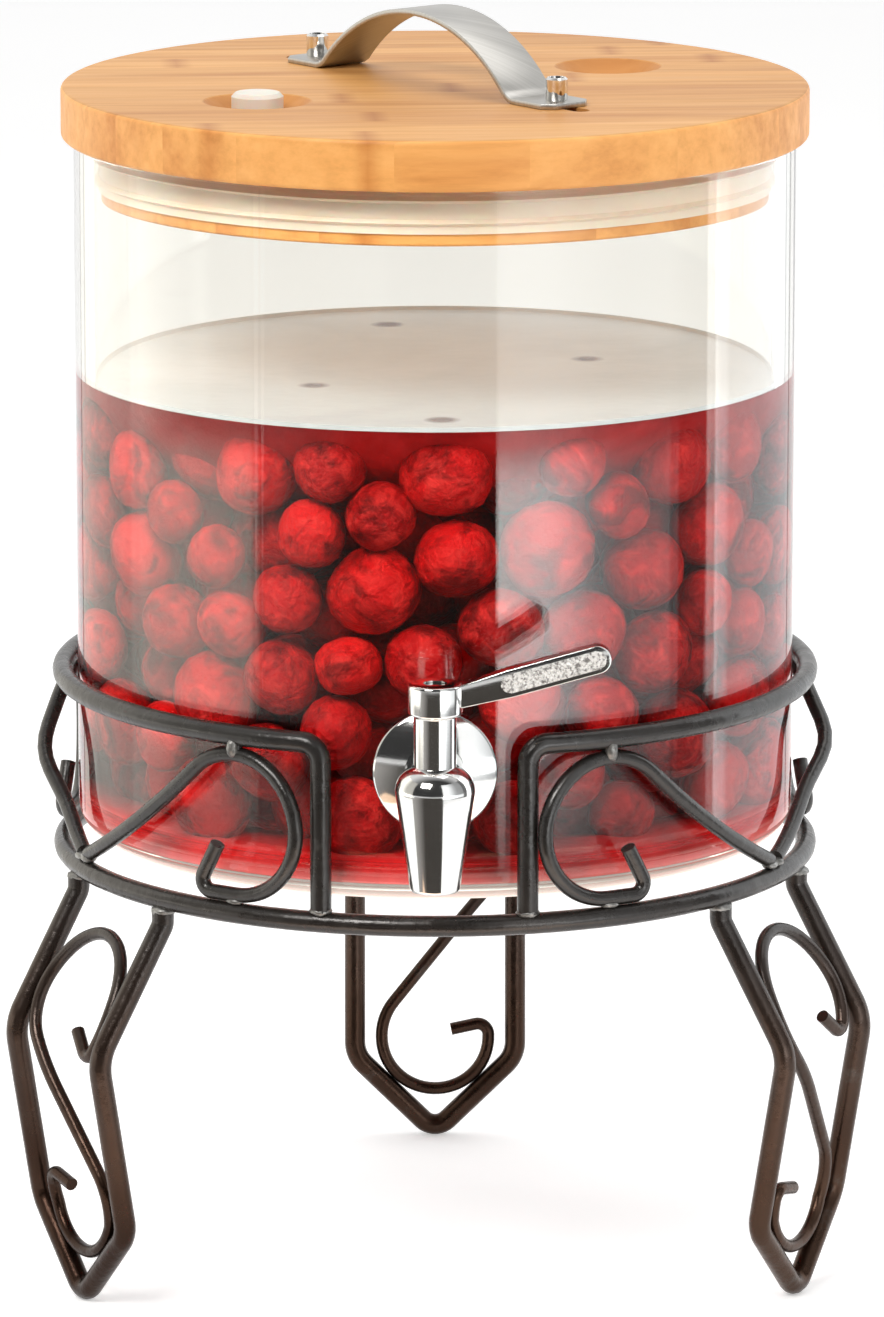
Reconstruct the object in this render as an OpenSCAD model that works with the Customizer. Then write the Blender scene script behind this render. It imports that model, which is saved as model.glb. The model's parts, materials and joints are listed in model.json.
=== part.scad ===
// Glass drink dispenser: a straight glass jar with a lever tap and a wooden lid,
// standing in a three-legged stand bent from round iron bar.
// The jar's axis is Z, the floor is z = 0 and the tap faces -Y.

/* [Jar] */
// Outside diameter of the glass
jar_d = 190; // [170:1:220]
// Height of the glass, foot to rim
jar_h = 185.2; // [150:0.1:260]
// Thickness of the glass wall
jar_wall = 5; // [4:0.5:6.5]
// Thickness of the glass base
jar_base = 8; // [6:0.5:12]
// Radius round the outside of the foot
jar_foot_round = 7; // [4:0.5:9]
// Radius on both edges of the rim
jar_rim_round = 1.4; // [0.6:0.1:1.8]
// Hole for the tap's shank
jar_hole_d = 16.6; // [16.2:0.1:18]

/* [Lid] */
// How far the board stands out past the glass
lid_overhang = 3.3; // [1:0.1:8]
// Thickness of the lid board
lid_t = 13.3; // [11:0.1:18]
// Radius on the board's edges
lid_edge_round = 1.2; // [0.5:0.1:3]
// Depth of the plug below the board
plug_depth = 15.2; // [12:0.1:24]
// Gap between the plug's lip and the glass
plug_gap = 2.2; // [1.5:0.1:4]
// Thickness of the plug's lip under the seal
plug_lip_t = 3.2; // [2:0.1:5]
// Depth of the groove that holds the seal
seal_groove = 3.6; // [2.5:0.1:5]
// Gap between the seal's ribs and the glass
seal_gap = 0.3; // [0.2:0.05:0.6]
// Height of each rib on the seal
seal_rib_h = 1.8; // [1.2:0.1:2.4]
// Vent hole through the lid
vent_d = 10; // [8:0.5:12]
// Diameter of the dished recess round a vent
dish_d = 28.5; // [22:0.5:32]
// Depth of the dished recess
dish_depth = 3.6; // [2:0.1:5]
// Distance of the vents from the middle, to the side
vent_x = 46; // [40:1:52]
// Distance of the vents from the middle, to front and back
vent_y = 31; // [26:1:36]

/* [Stopper] */
// Diameter of the stopper's head
stopper_head_d = 13.5; // [12:0.5:18]
// Height of the stopper's head
stopper_head_h = 5.6; // [4:0.1:9]
// Length of the stopper's shank
stopper_shank_l = 16; // [10:1:22]
// How much narrower the shank is at its lower end
stopper_taper = 1.2; // [0.5:0.1:2.5]
// Gap between the stopper and the vent
stopper_gap = 0.3; // [0.2:0.05:0.6]

/* [Handle] */
// Width of the strap
strap_w = 15.5; // [12:0.5:20]
// Thickness of the strap
strap_t = 1.5; // [1:0.1:2.5]
// Rise of the arch above its feet
strap_rise = 18.5; // [14:0.5:26]
// Distance between the two bends at the arch's feet
strap_span = 84; // [74:1:94]
// Bend radius at the arch's feet
strap_bend = 6; // [4:0.5:9]
// Length of each flat foot
strap_foot = 14; // [12:0.5:18]
// Distance of the screw from the foot's free end
strap_hole_inset = 5.6; // [4.5:0.1:6.5]
// Direction of the strap across the lid
strap_turn = -51.5; // [-60:0.5:-40]
// Shank diameter of the strap's screws
screw_d = 4; // [3:0.5:5]
// Diameter of the screw's round head
stud_d = 5.8; // [5.4:0.1:8]
// Height of the screw's round head
stud_h = 6; // [3:0.5:9]
// Distance the screw can slide along its slot
slot_travel = 9.8; // [6:0.2:12]
// Width across the flats of the sliding nut
nut_w = 8; // [7:0.5:9]
// Thickness of the sliding nut
nut_t = 3.2; // [2.5:0.1:4]

/* [Stand] */
// Diameter of the bar in the rings
bar_d = 5.5; // [4.5:0.1:7]
// Gap between the glass and the rings
ring_gap = 1.25; // [0.8:0.05:3]
// Height of the lower ring's middle
ring_z = 111.7; // [100:0.1:130]
// Height of the upper ring above the lower one
gallery_h = 47.1; // [40:0.1:52]
// Angle of the left front post from the front
post_left = 17.2; // [16:0.1:18]
// Angle of the right front post from the front
post_right = 13.9; // [13:0.1:14.5]
// Bend radius where the upper ring turns down
post_bend = 5; // [4:0.5:7]
// Diameter of the two bars under the jar
rest_d = 5; // [4:0.1:6]
// Height of the rest bars above the lower ring's middle
rest_rise = 2; // [1.5:0.1:2.5]

/* [Gallery scrolls] */
// Wire diameter
scroll_d = 4; // [3:0.1:4.5]
// Angle of the first left loop from the front
first_left = 31.2; // [30.6:0.1:32]
// Angle of the first right loop from the front
first_right = 26.8; // [26.2:0.1:27.4]
// Angle of the second left loop from the front
second_left = 101; // [100:0.5:102]
// Angle of the second right loop from the front
second_right = 102.5; // [101.5:0.5:103.5]
// Angle from a second loop to the third
third_pitch = 26; // [25:0.5:28]
// Angle from a first or third loop to the foot of its leg
scroll_reach = 35.4; // [34.5:0.1:36]
// Angle between the feet of the first and second panel
foot_pitch = 2.3; // [2.1:0.1:3]
// How much steeper than a straight line a leg leaves its loop
scroll_sag = 10; // [4:1:14]
// Height of the short tie between a loop and the upper ring
scroll_tie_h = 0.3; // [0.2:0.1:2]
// How far a loop's free side stands out of the ring's curve
scroll_bow = 3.5; // [2:0.1:5]
// How far the second panel's leg swells out of the ring's curve
scroll_swell = 5; // [2:0.1:6]
// Bend radius of the small hook at the wire's end
hook_bend = 3; // [2.6:0.1:3.6]
// Straight run before the hook
hook_run = 7.5; // [6:0.5:8]
// Straight tail after the hook
hook_tail = 9.5; // [7:0.5:10.5]

/* [Legs] */
// Bar diameter of the legs
leg_d = 5.8; // [5:0.1:7]
// Half the distance between a leg's two bars
leg_half_w = 22.5; // [19:0.5:26]
// Height of the knee
knee_z = 71; // [66:0.5:76]
// How far the knee stands out from the ring
knee_out = 17; // [10:0.5:24]
// How far the foot stands out from the ring
foot_out = 9; // [4:0.5:14]
// Angle of the foot's two sides from upright
foot_angle = 45; // [40:1:50]
// Bend radius at the knee
knee_bend = 14; // [8:0.5:18]
// Bend radius where the sides turn in to the foot
ankle_bend = 9; // [5:0.5:11]
// Bend radius at the foot's point
foot_bend = 5; // [4:0.5:6]
// Depth of the flat ground on the foot's point
foot_flat = 0.4; // [0.2:0.1:0.8]
// Straight length of bar under the ring
leg_neck = 4; // [3:0.5:5]
// Wire diameter of the leg scrolls
leg_scroll_d = 3.5; // [3:0.1:4]
// Height of the upper loop's middle above the knee
leg_loop_up = 9; // [7:0.5:11]
// Radius of the lower loop
leg_loop_low_r = 15; // [13:0.1:16]

/* [Tap] */
// Distance of the spout's axis from the glass
tap_reach = 18; // [17:0.5:22]
// Height of the tap above the jar's foot
tap_up = 35.5; // [32:0.5:44]
// Diameter of the round flange
flange_d = 32; // [26:0.5:34]
// Thickness of the flange at its middle
flange_t = 4.6; // [3.5:0.1:5]
// Thickness of the flange at its edge
flange_edge = 1.6; // [1:0.1:2.5]
// Widest diameter of the spout
spout_d = 20.5; // [19:0.5:22]
// Radius of the dome from the spout up to its neck
spout_dome = 7; // [6:0.1:8]
// Depth of the spout's widest place below the shank's axis
spout_low = 1.5; // [1:0.1:2]
// Diameter at the spout's outlet
spout_tip_d = 13; // [12:0.5:15]
// Drop from the shank to the outlet
spout_drop = 27.5; // [24:0.5:34]
// Outlet bore of the spout
spout_bore = 8; // [7:0.5:8.5]
// Threaded shank that passes through the glass
shank_d = 15.8; // [15:0.1:16]
// Bore through the shank
shank_bore = 7; // [6:0.5:8]
// Length of shank inside the lock nut
shank_tail = 6; // [4:0.5:9]
// Thickness of each rubber washer at its middle
washer_t = 2.2; // [1.6:0.1:3]
// Diameter of the rubber washers
washer_d = 27; // [24:0.5:28]
// Width across the flats of the lock nut
lock_nut_w = 24; // [22:0.5:26]
// Thickness of the lock nut
lock_nut_t = 6; // [4:0.5:8]

/* [Valve] */
// Diameter of the turning core
core_d = 9; // [8.6:0.1:9.4]
// Running clearance round the core and its stem
core_gap = 0.05; // [0.03:0.01:0.08]
// Diameter of the core's stem
stem_d = 6; // [5:0.1:6.4]
// Port through the core
port_d = 6; // [5:0.1:6.4]
// Wire diameter of the rubber rings on the core
seal_wire = 1.4; // [1:0.1:1.6]
// Diameter of the neck under the lever
neck_d = 11; // [10:0.1:12]
// Height of the lever's hub above the shank
hub_up = 18.5; // [17:0.5:22]
// Diameter of the lever's hub
hub_d = 14; // [12:0.5:16]
// Height of the lever's hub
hub_h = 8.1; // [7:0.1:10]
// Reach of the lever from the spout's axis
lever_l = 44.5; // [38:0.5:56]
// Rise of the lever above level
lever_angle = 15.6; // [8:0.2:20]
// Height of the lever's grip
grip_h = 7.2; // [6:0.1:9]
// Thickness of the lever's grip
grip_t = 4.6; // [3.5:0.1:6]
// Length of the grip
grip_l = 30; // [24:0.5:32]
// Depth of the panel sunk in each side of the grip
panel_sink = 0.4; // [0.2:0.1:0.6]
// Rim left round the panel
panel_rim = 0.9; // [0.6:0.1:1.4]
// How far the core reaches below the shank's axis
core_drop = 8.5; // [8:0.1:9.5]
// How far the core reaches above the shank's axis
core_rise = 5; // [4.6:0.1:5.5]
// Height of the tap body above the shank's axis
body_rise = 8; // [7.5:0.1:9]
// How far the stem's end lies below the top of the hub
stem_sink = 3; // [2.6:0.1:3.4]
// Shank diameter of the lever's screw
lever_screw_d = 2.9; // [2.4:0.1:3.2]
// Shank length of the lever's screw
lever_screw_l = 6; // [4:0.5:8]
// Head diameter of the lever's screw
lever_screw_head = 5.4; // [4.4:0.1:5.6]
// Head height of the lever's screw
lever_screw_head_h = 2.4; // [1.8:0.1:2.5]

/* [Hidden] */
$fn = 96;
glass_fn = 480;

// Clearances shared by all joints between pieces
weld_gap = 0.05;
seat_gap = 0.3;
slide_gap = 0.3;
thread_gap = 0.06;

// Facets of bent bar and wire
bar_sides = 10;
arc_step = 15;
ring_steps = 48;
bend_steps = 5;
fillet_steps = 8;
arch_steps = 18;

// Heights and radii of the stand
bar_r = bar_d / 2;
ring_r = jar_d / 2 + ring_gap + bar_r;
upper_z = ring_z + gallery_h;
rest_z = ring_z + rest_rise;
jar_z = rest_z + rest_d / 2 + seat_gap;
ring_top = ring_z + bar_r;
ring_low = ring_z - bar_r;

// Jar and lid
jar_r = jar_d / 2;
bore_r = jar_r - jar_wall;
rim_z = jar_z + jar_h;
lid_r = jar_r + lid_overhang;
lid_top = rim_z + lid_t;
plug_r = bore_r - plug_gap;
plug_low = rim_z - plug_depth;
groove_r = plug_r - seal_groove;
groove_low = plug_low + plug_lip_t;
dish_low = lid_top - dish_depth;

// Strap: arch and foot bends touch without a kink
strap_mid = strap_t / 2;
strap_sum = (pow(strap_span / 2, 2) + pow(strap_rise, 2)) / (2 * strap_rise);
arch_r = strap_sum - strap_bend;
arch_end = acos(1 - strap_rise / strap_sum);
stud_s = strap_span / 2 + strap_foot - strap_hole_inset;
slot_w = screw_d + 2 * slide_gap;
pocket_h = nut_t + 2 * slide_gap;

// Gallery scrolls, unrolled round the ring
scroll_r = scroll_d / 2;
loop_low = ring_top + scroll_r + weld_gap;
loop_high = upper_z - bar_r - scroll_tie_h - scroll_r;
loop_r = (loop_high - loop_low) / 2;
loop_z = (loop_high + loop_low) / 2;
hook_turn = 118;
swell_at = 24;
swell_w = 11;

// Legs
leg_r = leg_d / 2;
leg_top_r = sqrt(pow(ring_r, 2) - pow(leg_half_w, 2));
knee_r = ring_r + knee_out;
foot_r = ring_r + foot_out;
foot_apex = leg_r - foot_flat - foot_bend * (1 / sin(foot_angle) - 1);
ankle_z = foot_apex + leg_half_w / tan(foot_angle);
leg_azimuths = [90, 211.3, 331.8];

// Leg scrolls: both loops touch the bars beside them
wire_r = leg_scroll_d / 2;
wire_seat = leg_r + wire_r + weld_gap;
high_r = leg_half_w - wire_seat;
high_z = knee_z + leg_loop_up;
low_r = leg_loop_low_r;
low_z = foot_apex + (low_r + wire_seat) / sin(foot_angle);
cross_a = acos((high_r + low_r) / (high_z - low_z));
wire_hook = 3;
wire_tail = 7;
wire_turn = 100;
high_hook = -30;
low_hook = -182;

// Tap
tap_y = -(jar_r + tap_reach);
tap_z = jar_z + tap_up;
shank_r = shank_d / 2;
spout_r = spout_d / 2;
neck_r = neck_d / 2;
core_r = core_d / 2;
stem_r = stem_d / 2;
core_low = -core_drop;
core_high = core_rise;
body_top = body_rise;
flange_back = -(jar_r + washer_t);
nut_back = -(bore_r - washer_t);
shank_end = nut_back + lock_nut_t + shank_tail;
stem_top = hub_up + hub_h - stem_sink;

// Points along a circle, in the plane
function arc(c, r, from, to, steps) =
    [for (i = [0 : steps]) let (a = from + (to - from) * i / steps) c + r * [cos(a), sin(a)]];

function arc_steps(turn) = max(2, ceil(abs(turn) / arc_step));

function unit(v) = v / norm(v);

// Arc that rounds the corner at b between the runs a-b and b-c
function bend(a, b, c, r) =
    let (
        way_in = unit(b - a),
        way_out = unit(c - b),
        turn = acos(way_in * way_out),
        start = b - r * tan(turn / 2) * way_in,
        side = unit(way_out - way_in * (way_in * way_out))
    )
    [for (i = [0 : bend_steps]) let (t = turn * i / bend_steps)
        start + r * (side * (1 - cos(t)) + way_in * sin(t))];

function bent_path(corners, bends) =
    let (last = len(corners) - 1)
    concat(
        [corners[0]],
        [for (i = [1 : last - 1]) each bend(corners[i - 1], corners[i], corners[i + 1], bends[i - 1])],
        [corners[last]]
    );

// Directions along a path, halfway between the runs that meet at each point
function headings(path) =
    let (last = len(path) - 1)
    [for (i = [0 : last])
        i == 0 ? unit(path[1] - path[0])
        : i == last ? unit(path[last] - path[last - 1])
        : unit(unit(path[i + 1] - path[i]) + unit(path[i] - path[i - 1]))];

function square_to(n, heading) = unit(n - heading * (n * heading));

function any_side(heading) =
    square_to(abs(heading[2]) < 0.8 ? [0, 0, 1] : [1, 0, 0], heading);

// Round bar along a path, one ring of points at each of its points
module bar(path, r) {
    ways = headings(path);
    count = len(path);
    sides = [for (i = 0, n = any_side(ways[0]); i < count;
        i = i + 1, n = i < count ? square_to(n, ways[i]) : n) n];
    points = [for (i = [0 : count - 1], k = [0 : bar_sides - 1])
        let (a = 360 * k / bar_sides)
        path[i] + r * (cos(a) * sides[i] + sin(a) * cross(ways[i], sides[i]))];
    walls = [for (i = [0 : count - 2], k = [0 : bar_sides - 1])
        let (
            p = i * bar_sides + k,
            q = i * bar_sides + (k + 1) % bar_sides
        )
        each [[p, p + bar_sides, q + bar_sides], [p, q + bar_sides, q]]];
    tail = (count - 1) * bar_sides;
    caps = [for (k = [1 : bar_sides - 2])
        each [[0, k, k + 1], [tail, tail + k + 1, tail + k]]];
    polyhedron(points, concat(walls, caps));
}

module iron() {
    color("#3a3532") children();
}

module bamboo() {
    color("#dcae77") children();
}

module steel() {
    color("#c9cacc") children();
}

module rubber() {
    color("#ecebe6") children();
}

module lower_ring() {
    iron() translate([0, 0, ring_z]) rotate_extrude() translate([ring_r, 0]) circle(r = bar_r);
}

// A front post, from its foot up and round the bend into the upper ring
function post_points(side, angle) =
    let (
        out = [side * sin(angle), -cos(angle), 0],
        way = [side * cos(angle), sin(angle), 0],
        ring_end = ring_r * out + [0, 0, upper_z],
        corner = ring_end - post_bend * way,
        foot = [corner[0], corner[1], ring_top + weld_gap]
    )
    concat([foot], bend(foot, corner, ring_end, post_bend));

// Bar of the upper ring: from one front post up, round the jar and down into the other post
function upper_path() =
    let (
        slack = atan(post_bend / ring_r),
        right = post_points(1, post_right + slack),
        left = post_points(-1, post_left + slack),
        last = len(left) - 1,
        start = post_right + slack - 90,
        turn = 360 - post_left - post_right - 2 * slack
    )
    concat(
        right,
        [for (i = [1 : ring_steps - 1]) let (a = start + turn * i / ring_steps)
            [ring_r * cos(a), ring_r * sin(a), upper_z]],
        [for (i = [last : -1 : 0]) left[i]]
    );

module upper_ring() {
    iron() bar(upper_path(), bar_r);
}

// Bar that the jar stands on, running to the back from behind a front post
module rest_bar(x) {
    reach = sqrt(pow(ring_r - bar_r - weld_gap, 2) - pow(abs(x) + rest_d / 2, 2));
    iron() translate([x, reach, rest_z]) rotate([90, 0, 0]) cylinder(d = rest_d, h = 2 * reach);
}

module rest_bar_left() {
    rest_bar(-ring_r * sin(post_left));
}

module rest_bar_right() {
    rest_bar(ring_r * sin(post_right));
}

// A gallery panel in its own plane: x runs along the ring from the loop's middle to the leg's foot
function panel_path(far) =
    let (
        foot = [far, loop_low],
        away = foot - [0, loop_z],
        leave = atan2(away[1], away[0]) + acos(loop_r / norm(away)) - scroll_sag,
        first = [0, loop_z] + loop_r * [cos(leave), sin(leave)],
        pull = first + norm(foot - first) / 2 * [sin(leave), -cos(leave)],
        bend_c = [hook_run, loop_low + hook_bend],
        out = [-sin(hook_turn - 90), cos(hook_turn - 90)],
        hook = arc(bend_c, hook_bend, -90, hook_turn - 90, bend_steps)
    )
    concat(
        [for (i = [0 : bend_steps]) let (t = i / (bend_steps + 1))
            pow(1 - t, 2) * foot + 2 * t * (1 - t) * pull + t * t * first],
        arc([0, loop_z], loop_r, leave, 270, arc_steps(270 - leave)),
        hook,
        [hook[len(hook) - 1] + hook_tail * out]
    );

// Out of the ring's curve: the loop's free side, and the swell of a leg that runs forward
function bow(s, swell) =
    (s < 0 ? scroll_bow * pow(s / loop_r, 2) : 0) + swell * exp(-pow((s - swell_at) / swell_w, 2));

// One panel, from the angle of its loop to the angle of its leg's foot
module gallery_scroll(side, middle, foot, swell = 0) {
    sense = sign(foot - middle);
    far = abs(foot - middle) * ring_r * PI / 180;
    path = [for (p = panel_path(far)) let (
            a = middle + sense * p[0] / ring_r * 180 / PI,
            r = ring_r + bow(p[0], swell)
        ) [side * r * sin(a), -r * cos(a), p[1]]];
    iron() union() {
        bar(path, scroll_r);
        translate([side * ring_r * sin(middle), -ring_r * cos(middle), loop_high])
            cylinder(r = scroll_r, h = upper_z - bar_r - weld_gap - loop_high);
    }
}

// The three panels of a side: the second one is turned round, its foot beside the first one's
module gallery_panel(side, first, second, panel) {
    third = second + third_pitch;
    if (panel == 1) gallery_scroll(side, first, first + scroll_reach);
    if (panel == 2) gallery_scroll(side, second, first + scroll_reach + foot_pitch, scroll_swell);
    if (panel == 3) gallery_scroll(side, third, third + scroll_reach);
}

module gallery_scroll_left_1() {
    gallery_panel(-1, first_left, second_left, 1);
}

module gallery_scroll_left_2() {
    gallery_panel(-1, first_left, second_left, 2);
}

module gallery_scroll_left_3() {
    gallery_panel(-1, first_left, second_left, 3);
}

module gallery_scroll_right_1() {
    gallery_panel(1, first_right, second_right, 1);
}

module gallery_scroll_right_2() {
    gallery_panel(1, first_right, second_right, 2);
}

module gallery_scroll_right_3() {
    gallery_panel(1, first_right, second_right, 3);
}

// Point of a leg: out from the axis, across the leg and up
function leg_point(azimuth, out, across, z) =
    [out * cos(azimuth) - across * sin(azimuth), out * sin(azimuth) + across * cos(azimuth), z];

// Out from the axis at a height: the rounded line that both bars of a leg follow
function leg_out(z) =
    let (
        neck_z = ring_low - weld_gap - leg_neck,
        high = (z - knee_z) / (neck_z - knee_z),
        low = (knee_z - z) / (knee_z - ankle_z),
        slack = knee_bend / 6,
        near = max(0, 1 - abs(z - knee_z) / knee_bend)
    )
    (z > knee_z ? knee_r + (leg_top_r - knee_r) * high
        : z > ankle_z ? knee_r + (foot_r - knee_r) * low
        : foot_r) - slack * near * near;

// One bar per leg, bent down over the knee, in to the foot's point and up again
module leg(azimuth) {
    top_z = ring_low - weld_gap;
    side = [
        [leg_top_r, leg_half_w, top_z],
        [leg_top_r, leg_half_w, top_z - leg_neck],
        [knee_r, leg_half_w, knee_z],
        [foot_r, leg_half_w, ankle_z]
    ];
    corners = concat(
        side,
        [[foot_r, 0, foot_apex]],
        [for (i = [3 : -1 : 0]) [side[i][0], -side[i][1], side[i][2]]]
    );
    bends = [leg_neck, knee_bend, ankle_bend, foot_bend, ankle_bend, knee_bend, leg_neck];
    path = bent_path([for (p = corners) leg_point(azimuth, p[0], p[1], p[2])], bends);
    iron() difference() {
        bar(path, leg_r);
        translate([-2 * foot_r, -2 * foot_r, -leg_d]) cube([4 * foot_r, 4 * foot_r, leg_d]);
    }
}

module leg_back() {
    leg(leg_azimuths[0]);
}

module leg_left() {
    leg(leg_azimuths[1]);
}

module leg_right() {
    leg(leg_azimuths[2]);
}

// Hook that ends a loop: a tight bend inwards from the loop's end and a straight tail
function hook_path(c, r, at, sense) =
    let (
        start = c + r * [cos(at), sin(at)],
        pivot = start - wire_hook * [cos(at), sin(at)],
        last = at + sense * wire_turn,
        bend_points = arc(pivot, wire_hook, at, last, bend_steps),
        out = sense * [-sin(last), cos(last)]
    )
    concat([for (i = [1 : bend_steps]) bend_points[i]],
        [bend_points[bend_steps] + wire_tail * out]);

// The S of a leg scroll seen from outside: across the leg and height
function leg_scroll_path() =
    let (
        high_c = [0, high_z],
        low_c = [0, low_z],
        first = hook_path(high_c, high_r, high_hook, -1),
        count = len(first) - 1,
        high_end = 270 - cross_a,
        low_start = 90 - cross_a,
        a = high_c + high_r * [cos(high_end), sin(high_end)],
        b = low_c + low_r * [cos(low_start), sin(low_start)]
    )
    concat(
        [for (i = [count : -1 : 0]) first[i]],
        arc(high_c, high_r, high_hook, high_end, arc_steps(high_end - high_hook)),
        [for (i = [1 : bend_steps]) a + (b - a) * i / (bend_steps + 1)],
        arc(low_c, low_r, low_start, low_hook, arc_steps(low_hook - low_start)),
        hook_path(low_c, low_r, low_hook, -1)
    );

module leg_scroll(azimuth) {
    path = [for (p = leg_scroll_path()) leg_point(azimuth, leg_out(p[1]), p[0], p[1])];
    iron() bar(path, wire_r);
}

module leg_scroll_back() {
    leg_scroll(leg_azimuths[0]);
}

module leg_scroll_left() {
    leg_scroll(leg_azimuths[1]);
}

module leg_scroll_right() {
    leg_scroll(leg_azimuths[2]);
}

// Straight-sided glass with a rounded foot and rim and one hole for the tap
module jar() {
    foot = jar_foot_round;
    rim = jar_rim_round;
    hollow = foot - jar_wall / 2;
    profile = concat(
        [[0, 0]],
        arc([jar_r - foot, foot], foot, -90, 0, fillet_steps),
        arc([jar_r - rim, jar_h - rim], rim, 0, 90, fillet_steps),
        arc([bore_r + rim, jar_h - rim], rim, 90, 180, fillet_steps),
        arc([bore_r - hollow, jar_base + hollow], hollow, 0, -90, fillet_steps),
        [[0, jar_base]]
    );
    color("#cfe3e0", 0.35) translate([0, 0, jar_z]) difference() {
        rotate_extrude() polygon(profile);
        translate([0, 0, tap_up]) rotate([90, 0, 0]) cylinder(d = jar_hole_d, h = jar_d);
    }
}

// Places children with the shank's axis along Z, pointing out of the jar's front
module on_shank(y) {
    translate([0, y, tap_z]) rotate([90, 0, 0]) children();
}

// Places children on the spout's axis, with z = 0 at the shank's height
module on_spout() {
    translate([0, tap_y, tap_z]) children();
}

module tap_body() {
    tip = 1;
    dome_end = acos((neck_r - spout_r + spout_dome) / spout_dome);
    profile = concat(
        [[0, -spout_drop]],
        arc([spout_tip_d / 2 - tip, -spout_drop + tip], tip, -90, 0, bend_steps),
        arc([spout_r - spout_dome, -spout_low], spout_dome, 0, dome_end, fillet_steps),
        [[neck_r, body_top], [0, body_top]]
    );
    steel() difference() {
        union() {
            on_spout() rotate_extrude() polygon(profile);
            on_shank(shank_end) cylinder(r = shank_r, h = shank_end - tap_y);
        }
        on_shank(shank_end + 1) cylinder(d = shank_bore, h = shank_end + 1 - tap_y);
        on_spout() translate([0, 0, core_low - weld_gap])
            cylinder(r = core_r + core_gap, h = body_top - core_low + 1);
        on_spout() translate([0, 0, -spout_drop - 1]) cylinder(d = spout_bore, h = spout_drop);
    }
}

// Domed escutcheon between the spout and the glass
module tap_flange() {
    dome = flange_t - flange_edge;
    dome_r = (pow(flange_d / 2, 2) + pow(dome, 2)) / (2 * dome);
    edge_a = asin(flange_d / 2 / dome_r);
    profile = concat(
        [[shank_r + thread_gap, 0], [flange_d / 2, 0]],
        [for (p = arc([0, flange_t - dome_r], dome_r, 90 - edge_a, 90, fillet_steps))
            if (p[0] > shank_r + thread_gap) p],
        [[shank_r + thread_gap, flange_t - dome_r + sqrt(pow(dome_r, 2) - pow(shank_r + thread_gap, 2))]]
    );
    steel() on_shank(flange_back) rotate_extrude() polygon(profile);
}

module washer_blank(y, h) {
    on_shank(y) difference() {
        cylinder(d = washer_d, h = h);
        translate([0, 0, -1]) cylinder(r = shank_r + thread_gap, h = h + 2);
    }
}

// Rubber washer outside, moulded to the round of the glass
module outer_washer() {
    rubber() difference() {
        washer_blank(flange_back + washer_t + jar_wall, washer_t + jar_wall);
        translate([0, 0, jar_z]) cylinder(r = jar_r + weld_gap, h = jar_h, $fn = glass_fn);
    }
}

module inner_washer() {
    rubber() intersection() {
        washer_blank(nut_back, washer_t + jar_wall);
        translate([0, 0, jar_z]) cylinder(r = bore_r - weld_gap, h = jar_h, $fn = glass_fn);
    }
}

module lock_nut() {
    steel() on_shank(nut_back + lock_nut_t) difference() {
        cylinder(d = lock_nut_w / cos(30), h = lock_nut_t, $fn = 6);
        translate([0, 0, -1]) cylinder(r = shank_r + thread_gap, h = lock_nut_t + 2);
    }
}

// Neck that screws into the top of the tap and keeps the core in
module bonnet() {
    spigot = core_r + core_gap - thread_gap;
    profile = [
        [stem_r + core_gap, core_high + seat_gap],
        [spigot, core_high + seat_gap],
        [spigot, body_top],
        [neck_r, body_top],
        [neck_r, hub_up - seat_gap],
        [stem_r + core_gap, hub_up - seat_gap]
    ];
    steel() on_spout() rotate_extrude() polygon(profile);
}

// Turning core: shut at rest, with its side port a quarter turn from the shank
module valve_core() {
    groove = seal_wire;
    steel() on_spout() difference() {
        union() {
            translate([0, 0, core_low]) cylinder(r = core_r, h = core_high - core_low);
            cylinder(r = stem_r, h = stem_top);
        }
        rotate([0, -90, 0]) cylinder(d = port_d, h = core_d);
        translate([0, 0, core_low - 1]) cylinder(d = port_d, h = 1 - core_low);
        ring_groove(core_r, core_ring_z(), groove);
        ring_groove(stem_r, stem_ring_z(), groove);
        translate([0, 0, stem_top - lever_screw_l - 2])
            cylinder(d = lever_screw_d + 2 * thread_gap, h = lever_screw_l + 3);
    }
}

function core_ring_z() = (core_low - port_d / 2) / 2;

function stem_ring_z() = (body_top + hub_up) / 2;

module ring_groove(r, z, w) {
    translate([0, 0, z - w / 2 - weld_gap]) difference() {
        cylinder(r = r + 1, h = w + 2 * weld_gap);
        translate([0, 0, -1]) cylinder(r = r - w + core_gap, h = w + 3);
    }
}

module core_rings() {
    color("#1d1d1f") on_spout() {
        translate([0, 0, core_ring_z()]) rotate_extrude()
            translate([core_r - seal_wire / 2 + core_gap / 2, 0]) circle(d = seal_wire - core_gap);
        translate([0, 0, stem_ring_z()]) rotate_extrude()
            translate([stem_r - seal_wire / 2 + core_gap / 2, 0]) circle(d = seal_wire - core_gap);
    }
}

// Slot shape with round ends, from the origin along x
module stadium(l, w) {
    translate([0, -w / 2]) square([l, w]);
    circle(d = w);
    translate([l, 0]) circle(d = w);
}

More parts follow.
